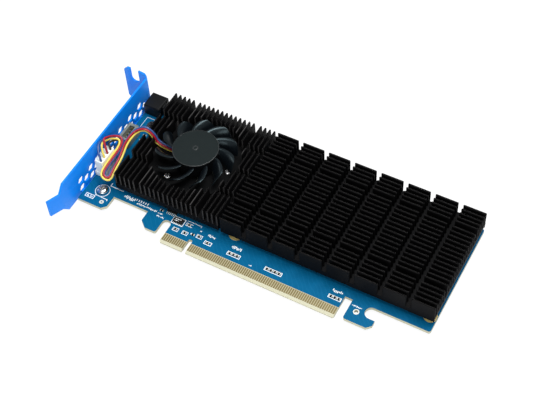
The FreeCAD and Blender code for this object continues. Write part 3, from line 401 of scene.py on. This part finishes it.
# Heat sinks, in millimetres: fin thickness, width of the cross cuts, and the fan's middle and place
FIN = 0.85
CUT = 2.25
FAN_MIDDLE = np.array((-17.0, 42.0))
FAN_PLACE_RADIUS = 20.4
FIN_EASE = 0.28
BASE_EASE = 0.02
FIN_TOP = 12.25
SINK_REAR = 68.65
FAN_SINK_LEFT, FAN_SINK_FRONT, FAN_SINK_RIGHT = -43.75, 15.3, 8.85
LARGE_SINK_LEFT, LARGE_SINK_FRONT, LARGE_SINK_RIGHT = 10.2, 15.1, 110.35
BLOCK_STEP = 12.8
BLOCK_LONG = 10.55


def build_fan_sink():
    """Fins along Y between cross cuts; each end that meets the fan's place follows its circle:
    y = middle -+ sqrt(radius^2 - (x - middle)^2) at each side of the fin."""
    base_low, base_high, fin_foot = 2.4, 5.4, 5.39
    # Fins in three fields, each with a step of its own
    centres = np.concatenate([-43.325 + 2.4 * np.arange(5), -30.3 + 2.35 * np.arange(13),
                              8.425 - 2.3 * np.arange(4)[::-1]])
    cuts = 28.7 + 13.45 * np.arange(3)
    sides_of_cuts = np.ravel(np.stack([cuts - CUT / 2, cuts + CUT / 2], -1))
    edges = np.concatenate([[FAN_SINK_FRONT], sides_of_cuts, [SINK_REAR]]).reshape(-1, 2)
    least_stub = 0.1
    feet = []
    for x in centres:
        sides = np.array((x - FIN / 2, x + FIN / 2))
        squared_reach = FAN_PLACE_RADIUS ** 2 - (sides - FAN_MIDDLE[0]) ** 2
        reach = np.sqrt(np.maximum(squared_reach, 0.0))
        near, far = FAN_MIDDLE[1] - reach, FAN_MIDDLE[1] + reach
        for front, rear in edges:
            if reach.max() == 0 or rear <= near.min() or front >= far.max():
                feet.append([(sides[0], front), (sides[1], front), (sides[1], rear),
                             (sides[0], rear)])
                continue
            if front < near.min() - least_stub:
                stop = np.minimum(near, rear)
                feet.append([(sides[0], front), (sides[1], front), (sides[1], stop[1]),
                             (sides[0], stop[0])])
            if rear > far.max() + least_stub:
                begin = np.maximum(far, front)
                feet.append([(sides[0], begin[0]), (sides[1], begin[1]), (sides[1], rear),
                             (sides[0], rear)])
    fins = eased_blocks(feet, fin_foot, FIN_TOP, FIN_EASE)
    plate = footprint(FAN_SINK_LEFT, FAN_SINK_FRONT, FAN_SINK_RIGHT, SINK_REAR)
    base = eased_blocks(plate[None], base_low, base_high, BASE_EASE)
    make_piece("fan_sink_metal", *join_ragged([base, fins]), "black_anodised",
               stands_for=("fan_heat_sink",))


def build_large_sink():
    """Fins along X, cut into eight blocks; the outer two fins run down past the base as lips."""
    base_low, base_high, fin_foot = 3.7, 5.3, 5.29
    lip_low, lip_high = 2.5, 3.71
    centres = np.concatenate([15.525 + 2.3 * np.arange(5), 28.0 + 2.35 * np.arange(13),
                              68.225 - 2.2 * np.arange(5)[::-1]])
    starts = LARGE_SINK_LEFT + BLOCK_STEP * np.arange(8)
    ends = np.minimum(starts + BLOCK_LONG, LARGE_SINK_RIGHT)
    y, start = np.meshgrid(centres, starts, indexing="ij")
    _, end = np.meshgrid(centres, ends, indexing="ij")
    feet = footprint(start.ravel(), y.ravel() - FIN / 2, end.ravel(), y.ravel() + FIN / 2)
    fins = eased_blocks(feet, fin_foot, FIN_TOP, FIN_EASE)
    plate = footprint(LARGE_SINK_LEFT, LARGE_SINK_FRONT, LARGE_SINK_RIGHT, SINK_REAR)
    base = eased_blocks(plate[None], base_low, base_high, BASE_EASE)
    lip_fronts = np.array((LARGE_SINK_FRONT, 67.8))
    lip_rears = np.array((15.95, SINK_REAR))
    lip_feet = footprint(LARGE_SINK_LEFT, lip_fronts, LARGE_SINK_RIGHT, lip_rears)
    lips = eased_blocks(lip_feet, lip_low, lip_high, 0.0)
    make_piece("large_sink_metal", *join_ragged([base, lips, fins]), "black_anodised",
               stands_for=("large_heat_sink",))


def turned_grid(radii, heights, steps):
    """Profile (radius, height) in millimetres turned round Z: x = r cos a, y = r sin a, z = h."""
    angle = np.linspace(0, 2 * np.pi, steps, endpoint=False)
    radii = np.asarray(radii)[:, None]
    heights = np.broadcast_to(np.asarray(heights)[:, None], (len(radii), steps))
    return np.stack([radii * np.cos(angle), radii * np.sin(angle), heights], axis=-1)


def grid_faces(rows, columns):
    """Four-sided faces of a grid of rows and columns, the columns closed into a ring."""
    row = np.arange(rows - 1)[:, None]
    column = np.arange(columns)[None, :]
    following = (column + 1) % columns
    corners = np.stack([row * columns + column, row * columns + following,
                        (row + 1) * columns + following, (row + 1) * columns + column], axis=-1)
    return corners.reshape(-1, 4)


def closed_turning(radii, heights, steps):
    """A turned solid whose first and last rings are closed with one face each."""
    points = turned_grid(radii, heights, steps)
    rows = len(radii)
    faces = grid_faces(rows, steps).tolist()
    faces.append(list(range(steps))[::-1])
    faces.append(list(range((rows - 1) * steps, rows * steps)))
    return points.reshape(-1, 3), faces


BLADES = 11
FIRST_BLADE_TURN = 13.6
BLADE_ROOT, BLADE_TIP = 10.3, 18.4
BLADE_TOP = 13.65
BLADE_HALF_THICKNESS = 0.36
BLADE_SHARP_TURN = 32


def build_impeller():
    """The cup is a turned profile. A blade is a sheet over (u, v): u runs from hub to tip, v from
    its top edge down. Angle, run and height follow u, and the height falls with v^1.7. The sheet
    is given its thickness along the cross product of its two tangents."""
    ease = np.linspace(0, np.pi / 2, 7)
    wall = ((9.72, 14.1), (9.72, 7.8), (10.5, 7.8), (10.5, 14.95))
    top = ((10.05, 15.4), (9.98, 15.4), (9.95, 15.3), (9.9, 15.28), (9.85, 15.28), (1.3, 15.28),
           (1.25, 15.22), (1.0, 15.05), (0.6, 15.2), (0.02, 15.25))
    rim = np.stack([10.1 + 0.4 * np.cos(ease), 15.0 + 0.4 * np.sin(ease)], axis=-1)
    cup_radii, cup_heights = np.concatenate([wall, rim, top]).T
    cup, cup_faces = closed_turning(cup_radii, cup_heights, 128)
    along = np.linspace(0, 1, 19)[:, None]
    down = np.linspace(0, 1, 15)[None, :]
    radius = BLADE_ROOT + (BLADE_TIP - BLADE_ROOT) * along
    lead = np.radians(21.5 - 22.0 * along ** 1.15)
    run = np.radians(22.5 - 2.0 * along)
    round_off = np.sqrt(np.clip(1 - ((along - 0.72) / 0.29).clip(0) ** 2, 0.02, 1))
    angle = lead - run * down ** 0.9 * (0.5 + 0.5 * round_off) - 0.12 * (1 - round_off)
    dip = 5.1 - 1.8 * (1 - round_off)
    height = BLADE_TOP - 0.5 * (1 - round_off) - dip * down ** 1.7
    sheet = np.stack([radius * np.cos(angle), radius * np.sin(angle), height], axis=-1)
    across = np.gradient(sheet, axis=0)
    drop = np.gradient(sheet, axis=1)
    normal = np.cross(drop, across)
    normal /= np.linalg.norm(normal, axis=-1, keepdims=True)
    edge = np.sqrt(np.clip(1 - (2 * down - 1) ** 6, 0.05, 1)) * (1 - 0.35 * along)
    half = BLADE_HALF_THICKNESS * edge[..., None] * normal
    ring = np.concatenate([sheet + half, (sheet - half)[:, ::-1]], axis=1)
    rows, columns = ring.shape[:2]
    faces = grid_faces(rows, columns).tolist()
    faces.append(list(range(columns))[::-1])
    faces.append(list(range((rows - 1) * columns, rows * columns)))
    points = ring.reshape(-1, 3)
    turns = [FIRST_BLADE_TURN + 360.0 * k / BLADES for k in range(BLADES)]
    vertices, faces = join_ragged([(points @ spin_about(turn), faces) for turn in turns])
    vertices[:, :2] += FAN_MIDDLE
    cup[:, :2] += FAN_MIDDLE
    hub = make_piece("fan_hub", cup * MM, cup_faces, "fan_plastic", body="fan_rotor",
                     smooth=True, stands_for=("impeller",))
    blades = make_piece("fan_blades", vertices * MM, faces, "blade_gloss", body="fan_rotor",
                        smooth=True)
    sharpen(hub, BLADE_SHARP_TURN)
    sharpen(blades, BLADE_SHARP_TURN)


def spin_about(degrees):
    """The matrix that turns rows of points about Z by an angle, applied from the right."""
    turn = math.radians(degrees)
    return np.array([[math.cos(turn), math.sin(turn), 0], [-math.sin(turn), math.cos(turn), 0],
                     [0, 0, 1]])


def join_ragged(shapes):
    """One vertex table and one face list from shapes whose faces have unlike corner counts."""
    vertices, faces, start = [], [], 0
    for points, rows in shapes:
        vertices.append(points)
        faces.extend([[corner + start for corner in row] for row in rows])
        start += len(points)
    return np.concatenate(vertices), faces


def sharpen(piece, degrees):
    """Edges that turn by more than the angle stay sharp on a smooth piece."""
    piece.data.set_sharp_from_angle(angle=math.radians(degrees))


# Screws: the sharp edge's turn in degrees, and places and heights in millimetres
SCREW_SHARP_TURN = 35
BOARD_REAR = -1.57
SINK_SCREWS = [(x, y) for x in (-40.5, 5.6, 16.1, 107.5) for y in (18.5, 65.5)]
BRACKET_SCREW_X, BRACKET_SCREW_FRONT, BRACKET_SCREW_REAR = -49.4, 12.2, 54.2
HOOK_HOLE_X, HOOK_HOLE_Y = 79.5, 6.6
FAN_SCREW_CIRCLE = 15.5
FAN_SCREW_SEAT = 6.2


def screw_head(radius, high, recess, steps=48):
    """A domed head as a polar height field, h = high (1 - 0.45 (r/R)^4), with a cross cut into it:
    the field drops by the recess where |x| or |y| is under a narrow half width near the middle."""
    ring = np.linspace(0.02, 1, 15)[:, None]
    angle = np.linspace(0, 2 * np.pi, steps, endpoint=False)[None, :]
    x, y = ring * np.cos(angle), ring * np.sin(angle)
    dome = high * (1 - 0.45 * ring ** 4) + 0 * angle
    near = np.minimum(np.abs(x), np.abs(y))
    far = np.maximum(np.abs(x), np.abs(y))
    arm_half, arm_reach = 0.15, 0.62
    arm = np.clip((arm_half - near) / 0.05, 0, 1) * np.clip((arm_reach - far) / 0.08, 0, 1)
    field = dome - recess * arm
    top = np.stack([radius * x, radius * y, field], axis=-1)
    skirt = top[-1:].copy()
    skirt[..., 2] = 0.0
    points = np.concatenate([top, skirt])[::-1]
    rows = len(points)
    faces = grid_faces(rows, steps).tolist()
    faces.append(list(range(steps))[::-1])
    faces.append(list(range((rows - 1) * steps, rows * steps)))
    return points.reshape(-1, 3), faces


def set_screws(name, places, radius, high, shank_radius, deep, stands_for, upward=True,
               finish="screw_steel"):
    """Heads with their shanks at each place (x, y, seat, turn); upward is off where the heads
    face down."""
    shapes = []
    for x, y, seat, turn in places:
        head, head_faces = screw_head(radius, high, high * 0.5)
        shank, shank_faces = closed_turning([shank_radius, shank_radius], [-deep, 0.01], 24)
        points, faces = join_ragged([(head, head_faces), (shank, shank_faces)])
        points = points @ spin_about(turn)
        if not upward:
            points = points * (1, -1, -1)
        shapes.append((points + (x, y, seat), faces))
    vertices, faces = join_ragged(shapes)
    piece = make_piece(name, vertices * MM, faces, finish, smooth=True, stands_for=stands_for)
    sharpen(piece, SCREW_SHARP_TURN)


def build_screws():
    """No bright head shows at the rear bracket screw's place, so that one takes the darker steel as
    painted shade.
    """
    set_screws("bracket_screw_front", [(BRACKET_SCREW_X, BRACKET_SCREW_FRONT, 0, 20)],
               radius=2.5, high=1.9, shank_radius=1.25, deep=3.0, stands_for=("bracket_screws",))
    # Painted shade: the rear head is a darker copy of the screw steel
    set_screws("bracket_screw_rear", [(BRACKET_SCREW_X, BRACKET_SCREW_REAR, 0, 60)],
               radius=2.5, high=1.9, shank_radius=1.25, deep=3.0, stands_for=("bracket_screws",),
               finish="dark_steel")
    turns = np.radians(1.0 + 120 * np.arange(3))
    places = [(FAN_MIDDLE[0] + FAN_SCREW_CIRCLE * math.cos(turn),
               FAN_MIDDLE[1] + FAN_SCREW_CIRCLE * math.sin(turn), FAN_SCREW_SEAT, 30 * k)
              for k, turn in enumerate(turns)]
    set_screws("fan_screw_heads", places, radius=1.5, high=0.9, shank_radius=0.8, deep=2.6,
               stands_for=("fan_screws",))
    rear = [(x, y, BOARD_REAR, 17 * k) for k, (x, y) in enumerate(SINK_SCREWS)]
    set_screws("rear_screw_heads", rear, radius=2.25, high=1.5, shank_radius=1.25, deep=5.0,
               stands_for=("heat_sink_screws",), upward=False)


def flat_bars(rows, low, high):
    """Thin bars on rows of (left, front, right, rear), between two heights."""
    rows = np.asarray(rows, dtype=float)
    return eased_blocks(footprint(*rows.T), low, high, 0.0)


def flat_rings(places, low, high, steps=48):
    """Flat rings (x, y, outer radius, inner radius) between two heights."""
    shapes = []
    for x, y, outer, inner in places:
        radii = [inner, outer, outer, inner]
        heights = [low, low, high, high]
        points = turned_grid(radii, heights, steps)
        faces = grid_faces(4, steps).tolist()
        faces += np.stack([3 * steps + np.arange(steps),
                           3 * steps + (np.arange(steps) + 1) % steps,
                           (np.arange(steps) + 1) % steps, np.arange(steps)], axis=-1).tolist()
        shapes.append((points.reshape(-1, 3) + (x, y, 0), faces))
    return join_ragged(shapes)


def frame_bars(left, front, right, rear, width):
    """Four bars along the sides of a rectangle."""
    return [(left, front, right, front + width), (left, rear - width, right, rear),
            (left, front + width, left + width, rear - width),
            (right - width, front + width, right, rear - width)]


def tick_rows(x, y, long, high, seed):
    """Bare upright bars of uneven width along a strip, as a printed label with nothing written."""
    gap = 0.22
    chance = np.random.default_rng(seed)
    bars = []
    at = x
    while at < x + long - 0.2:
        wide = chance.uniform(0.3, 0.55)
        drop, rise = chance.choice((0.0, 0.3), 2) * high
        bars.append((at, y + drop, min(at + wide, x + long), y + high - rise))
        at += wide + gap
    return bars


INK = 0.02


def build_print():
    """White printed lines on the board: outlines, corner brackets and bare bar strips. Every row
    of four is left, front, right and rear in millimetres. Then the plated and printed rings."""
    line = 0.28
    thin = 0.26
    bars = frame_bars(-55.3, 6.2, -50.8, 8.3, line)
    bars += [(-54.5, 6.8, -53.4, 7.2), (-54.5, 7.4, -53.9, 7.8), (-52.8, 6.7, -52.5, 7.9),
             (-52.1, 6.9, -51.5, 7.3), (-51.2, 8.7, -50.2, 9.2)]
    bars += [(-48.2, 8.6, -44.6, 8.9), (-44.9, 8.0, -44.6, 8.6)]
    bars += [(-47.7, 15.9, -43.2, 16.2), (-47.7, 16.2, -47.4, 17.8), (-43.2, 15.8, -40.6, 16.1)]
    bars += tick_rows(-38.9, 13.1, 5.8, 1.9, 4)
    for k in range(6):
        bars.append((-32.9 + k * 1.15, 14.2, -32.45 + k * 1.15, 15.25))
    bars += tick_rows(-31.7, 12.7, 10.2, 0.9, 5)
    bars += tick_rows(-20.4, 10.9, 1.5, 0.9, 6) + tick_rows(-18.4, 10.9, 1.6, 0.9, 7)
    bars += tick_rows(-20.6, 12.6, 2.2, 0.7, 8)
    bars += frame_bars(-13.0, 11.0, -7.1, 15.0, line)
    bars += [(-6.4, 15.0, 0.7, 15.2), (0.5, 14.3, 0.7, 15.0), (-6.3, 12.5, -6.1, 14.1),
             (-6.1, 13.9, -3.0, 14.1), (-6.1, 12.5, -3.0, 12.7), (1.3, 12.5, 1.9, 13.0)]
    for x, y in ((-9.0, 8.7), (-4.3, 8.8), (2.4, 9.9)):
        bars += frame_bars(x - 1.4, y - 0.95, x + 1.4, y + 0.95, 0.22)
    bars += tick_rows(-1.9, 9.0, 2.2, 1.1, 9)
    bars += tick_rows(5.5, 11.6, 3.6, 1.4, 11) + frame_bars(5.6, 7.6, 9.2, 9.5, thin)
    bars += tick_rows(17.6, 11.2, 5.0, 1.5, 12) + frame_bars(17.2, 7.3, 23.6, 9.3, thin)
    bars += tick_rows(28.7, 6.4, 1.6, 0.7, 13) + frame_bars(35.4, 7.6, 43.7, 9.5, thin)
    bars += tick_rows(66.1, 11.2, 5.0, 1.5, 14) + frame_bars(65.6, 7.8, 71.6, 9.6, thin)
    bars += tick_rows(76.6, 8.6, 4.4, 0.7, 15)
    bars += frame_bars(-54.6, 50.4, -45.6, 58.4, 0.18)
    bars += [(-48.0, 49.9, -45.0, 50.05), (-48.0, 36.3, -45.0, 36.5)]
    on_chip = tick_rows(-11.5, 13.1, 3.0, 0.5, 20) + tick_rows(-11.5, 12.2, 2.2, 0.5, 21)
    printed = join_ragged([flat_bars(bars, 0.0, INK), flat_bars(on_chip, 0.95, 1.02)])
    make_piece("printed_lines", *printed, "print_white")
    pads = flat_rings([(16.1, 18.5, 3.4, 1.45)], 0.0, INK)
    corner = flat_rings([(107.5, 18.5, 3.0, 1.45)], 0.0, INK)
    board_end = 110.2
    corner[0][:, 0] = corner[0][:, 0].clip(None, board_end)
    vertices, faces = join_ragged([pads, corner])
    # The front rings take the lighter gold copy, painted light
    make_piece("front_rings", vertices * MM, faces, "lit_ring_gold")
    circle = (BRACKET_SCREW_X, BRACKET_SCREW_FRONT, 3.45, 3.2)
    vertices, faces = flat_rings([circle], 0.0, INK)
    make_piece("printed_circles", vertices * MM, faces, "print_white")
    tinned = [(-46.4, 6.6, 1.05, 0.35), (HOOK_HOLE_X, HOOK_HOLE_Y, 1.3, 0.9)]
    vertices, faces = flat_rings(tinned, 0.0, INK)
    make_piece("tinned_rings", vertices * MM, faces, "solder")
    rear = [(x, y, 2.9, 1.45) for x, y in SINK_SCREWS] + [(HOOK_HOLE_X, HOOK_HOLE_Y, 1.35, 0.9)]
    vertices, faces = flat_rings(rear, -1.59, BOARD_REAR)
    make_piece("rear_rings", vertices * MM, faces, "gold_plate")


def build_small_parts():
    """Soldered parts, each a dark middle between two tinned ends, and the two small chips with
    their rows of pins."""
    middle_share = 0.55
    front = [(-9.0, 8.7), (-4.3, 8.8), (-0.6, 9.5), (2.4, 9.9), (7.3, 8.5), (18.6, 8.3),
             (20.4, 8.3), (22.2, 8.3), (36.7, 8.5), (38.6, 8.5), (40.5, 8.5), (42.4, 8.5),
             (66.9, 8.7), (68.7, 8.7), (70.5, 8.7), (-4.6, 13.2), (-19.6, 14.6), (-46.4, 34.6),
             (-46.4, 38.2), (-46.2, 46.6), (-46.2, 49.4), (-49.6, 44.6), (-49.6, 48.0)]
    rear = [(x, y) for x in range(-30, -5, 4) for y in range(30, 55, 6)]
    for name, places, half, low, high in (
            ("front_chips", front, (0.8, 0.45), 0.0, 0.6),
            ("rear_chips", rear, (0.5, 0.3), -2.07, BOARD_REAR)):
        x, y = np.asarray(places, dtype=float).T
        long, wide = half
        inner = long * middle_share
        body = footprint(x - inner, y - wide * 0.94, x + inner, y + wide * 0.94)
        ends = np.concatenate([footprint(x - long, y - wide, x - inner, y + wide),
                               footprint(x + inner, y - wide, x + long, y + wide)])
        node = "small_parts_" + name.split("_")[0]
        make_piece(name, *eased_blocks(body, low, high - 0.03, 0.0), "chip_black",
                   stands_for=(node,))
        make_piece(name + "_ends", *eased_blocks(ends, low, high, 0.05), "solder")
    bodies = footprint(np.array((-12.4, -17.4)), np.array((11.75, 15.4)),
                       np.array((-7.6, -12.6)), np.array((14.25, 18.2)))
    make_piece("chip_bodies", *eased_blocks(bodies, 0.1, 1.0, 0.1), "chip_black")
    x = -17.2 + 0.84 * np.arange(6)
    pins = np.concatenate([footprint(x, 14.2, x + 0.36, 15.4), footprint(x, 18.2, x + 0.36, 19.2)])
    x = -12.1 + 0.8 * np.arange(6)
    pins = np.concatenate([pins, footprint(x, 11.2, x + 0.34, 11.8),
                           footprint(x, 14.2, x + 0.34, 14.8)])
    make_piece("chip_pins", *eased_blocks(pins, 0.0, 0.22, 0.04), "solder")


SOFT_TURN = 25
SEAM = 2e-6


def softened(name, width):
    """A copy of a solid with its seams merged, flat faces joined and each edge that turns by more
    than the soft turn rounded. The side header alone is greyer than its slot's finish."""
    mesh = frame["nodes"][name].data.copy()
    mesh.name = name + "_soft"
    work = bmesh.new()
    work.from_mesh(mesh)
    work.transform(frame["nodes"][name].matrix_world)
    bmesh.ops.remove_doubles(work, verts=work.verts, dist=SEAM)
    bmesh.ops.dissolve_limit(work, angle_limit=math.radians(1), verts=work.verts, edges=work.edges)
    work.to_mesh(mesh)
    work.free()
    mesh.shade_smooth()
    piece = bpy.data.objects.new(name + "_soft", mesh)
    bpy.context.scene.collection.objects.link(piece)
    ease = piece.modifiers.new("eased_edges", "BEVEL")
    ease.width = width * MM
    ease.segments = 3
    ease.limit_method = "ANGLE"
    ease.angle_limit = math.radians(SOFT_TURN)
    ease.harden_normals = True
    ease.use_clamp_overlap = True
    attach(piece, "card")
    if name == "side_header":
        mesh.materials[0] = FINISHES["connector_grey"]
    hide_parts(name)


# Wires: each strand is a smooth line through its share of the bundle's route. The twist turns a
# wire about the bundle, by degrees at each point of the route; the ends are each wire's two signs
# of its place in the bundle and its own points to the plug.
WIRE_RADIUS = 0.48
WIRE_ASIDE = 0.54
BUNDLE_ROUTE = [
    (-26.25, 42.2, 6.45), (-37.6, 42.2, 6.45), (-39.4, 42.2, 12.4), (-43.0, 41.6, 15.8),
    (-47.6, 39.8, 13.2), (-49.6, 34.0, 9.8), (-48.6, 28.0, 7.2), (-48.2, 21.0, 6.2),
    (-47.3, 15.4, 5.2), (-51.0, 15.2, 7.0), (-51.0, 21.5, 8.5), (-51.1, 31.5, 8.5),
    (-53.2, 36.4, 9.2),
]
WIRE_TWIST = [0, 0, 0, 0, 15, 15, 0, -15, -15, 0, 0, 0, 0]
WIRE_ENDS = {
    "wire_red": (-1, 1, [(-56.0, 34.0, 11.6), (-56.2, 30.8, 14.1), (-56.3, 27.5, 16.2),
                         (-54.6, 25.8, 13.8), (-53.5, 24.97, 11.8), (-53.5, 24.97, 9.2)]),
    "wire_blue": (1, 1, [(-57.0, 34.2, 10.8), (-57.5, 30.4, 13.0), (-57.5, 24.8, 15.4),
                         (-55.3, 21.2, 13.6), (-53.5, 19.89, 11.9), (-53.5, 19.89, 9.2)]),
    "wire_yellow": (-1, -1, [(-56.0, 33.0, 10.7), (-56.3, 30.1, 12.8), (-56.4, 25.8, 14.9),
                             (-54.8, 23.4, 13.0), (-53.5, 22.43, 11.6), (-53.5, 22.43, 9.2)]),
    "wire_black": (1, -1, [(-56.4, 32.6, 9.2), (-55.3, 30.0, 11.4), (-54.6, 28.6, 12.6),
                           (-53.5, 27.51, 11.3), (-53.5, 27.51, 9.2)]),
}


def strand(aside, above, last):
    """A wire's control points: its place beside the bundle's route is carried round each corner
    and turned by the twist, so that the four wires lean over each other and back again."""
    route = [Vector(point) for point in BUNDLE_ROUTE + [last]]
    offset = Vector((0, aside, above)) * WIRE_ASIDE
    moved = [route[0] + offset]
    for k in range(1, len(route) - 1):
        before = (route[k] - route[k - 1]).normalized()
        after = (route[k + 1] - route[k]).normalized()
        offset = Matrix.Rotation(math.radians(WIRE_TWIST[k]), 3, before) @ offset
        axis = before.cross(after).normalized()
        across = offset.dot(axis.cross(before))
        beside = axis * offset.dot(axis)
        share = across / (1 + before.dot(after))
        moved.append(route[k] + beside + (axis.cross(before) + axis.cross(after)) * share)
        offset = beside + axis.cross(after) * across
    return moved


def build_wires():
    for name, (aside, above, tail) in WIRE_ENDS.items():
        points = strand(aside, above, tail[0]) + [Vector(point) for point in tail]
        data = bpy.data.curves.new(name + "_strand", "CURVE")
        data.dimensions = "3D"
        data.bevel_depth = WIRE_RADIUS * MM
        data.bevel_resolution = 4
        data.resolution_u = 10
        data.use_fill_caps = True
        spline = data.splines.new("NURBS")
        spline.points.add(len(points) - 1)
        for held, point in zip(spline.points, points):
            held.co = (*(point * MM), 1)
        spline.order_u = 3
        spline.use_endpoint_u = True
        data.materials.append(FINISHES[name])
        piece = bpy.data.objects.new(name + "_strand", data)
        bpy.context.scene.collection.objects.link(piece)
        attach(piece, "card")
        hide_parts(name)


build_fan_sink()
build_large_sink()
build_impeller()
build_screws()
build_print()
build_small_parts()
for label, width in (("bracket", 0.16), ("fan_plug", 0.25), ("fan_header", 0.2),
                     ("side_header", 0.2), ("power_header", 0.4)):
    softened(label, width)
build_wires()


# Floor and light: the floor glows evenly for the camera and in reflections, and is plain and pale
# for all other light
FLOOR_REACH = 3.0
FLOOR_GLOW = 1.08
GLOW_SHARE = 0.85
WORLD_GLOW = 0.3


def build_stage():
    low = cad_box[0][2]
    far = FLOOR_REACH
    corners = [(-far, -far, low), (far, -far, low), (far, far, low), (-far, far, low)]
    mesh = bpy.data.meshes.new("floor")
    mesh.from_pydata(corners, [], [(0, 1, 2, 3)])
    floor = bpy.data.objects.new("floor", mesh)
    bpy.context.scene.collection.objects.link(floor)
    material, tree, shader = new_material("pale floor")
    shader.inputs["Base Color"].default_value = (0.9, 0.9, 0.9, 1)
    shader.inputs["Roughness"].default_value = 0.9
    glow = add(tree, "ShaderNodeEmission")
    glow.inputs["Color"].default_value = (1, 1, 1, 1)
    glow.inputs["Strength"].default_value = FLOOR_GLOW
    path = add(tree, "ShaderNodeLightPath")
    blend = add(tree, "ShaderNodeMixShader")
    out = tree.nodes["Material Output"]
    join = tree.links.new
    bent = reckon(tree, "MAXIMUM", path.outputs["Is Glossy Ray"],
                  path.outputs["Is Transmission Ray"])
    seen = reckon(tree, "MAXIMUM", path.outputs["Is Camera Ray"], bent)
    join(reckon(tree, "MULTIPLY", seen, GLOW_SHARE), blend.inputs["Fac"])
    join(shader.outputs["BSDF"], blend.inputs[1])
    join(glow.outputs["Emission"], blend.inputs[2])
    join(blend.outputs["Shader"], out.inputs["Surface"])
    mesh.materials.append(material)


def add_lamp(name, place, aim, size, power):
    """A rectangular lamp that faces a point; lengths in metres, power in watts."""
    data = bpy.data.lights.new(name, "AREA")
    data.shape = "RECTANGLE"
    data.size, data.size_y = size
    data.energy = power
    lamp = bpy.data.objects.new(name, data)
    way = Vector(place) - Vector(aim)
    lamp.matrix_world = Matrix.Translation(place) @ way.to_track_quat("Z", "Y").to_matrix().to_4x4()
    bpy.context.scene.collection.objects.link(lamp)


def build_light():
    aim = (0.027, 0.035, 0.0)
    fan = (-0.017, 0.042, 0.01)
    add_lamp("top_light", (0.04, -0.02, 0.75), aim, size=(0.4, 0.35), power=2.6)
    add_lamp("blade_light", (0.17, 0.2, 0.58), fan, size=(0.3, 0.3), power=2.8)
    add_lamp("front_light", (0.3, -0.6, 0.35), aim, size=(0.6, 0.4), power=2.1)
    add_lamp("left_light", (-0.6, -0.05, 0.35), aim, size=(0.4, 0.4), power=0.8)
    world = bpy.data.worlds.new("studio")
    world.use_nodes = True
    sky = world.node_tree.nodes["Background"]
    sky.inputs["Color"].default_value = (1, 1, 1, 1)
    sky.inputs["Strength"].default_value = WORLD_GLOW
    bpy.context.scene.world = world


build_stage()
build_light()
bpy.context.scene.view_settings.view_transform = "Standard"
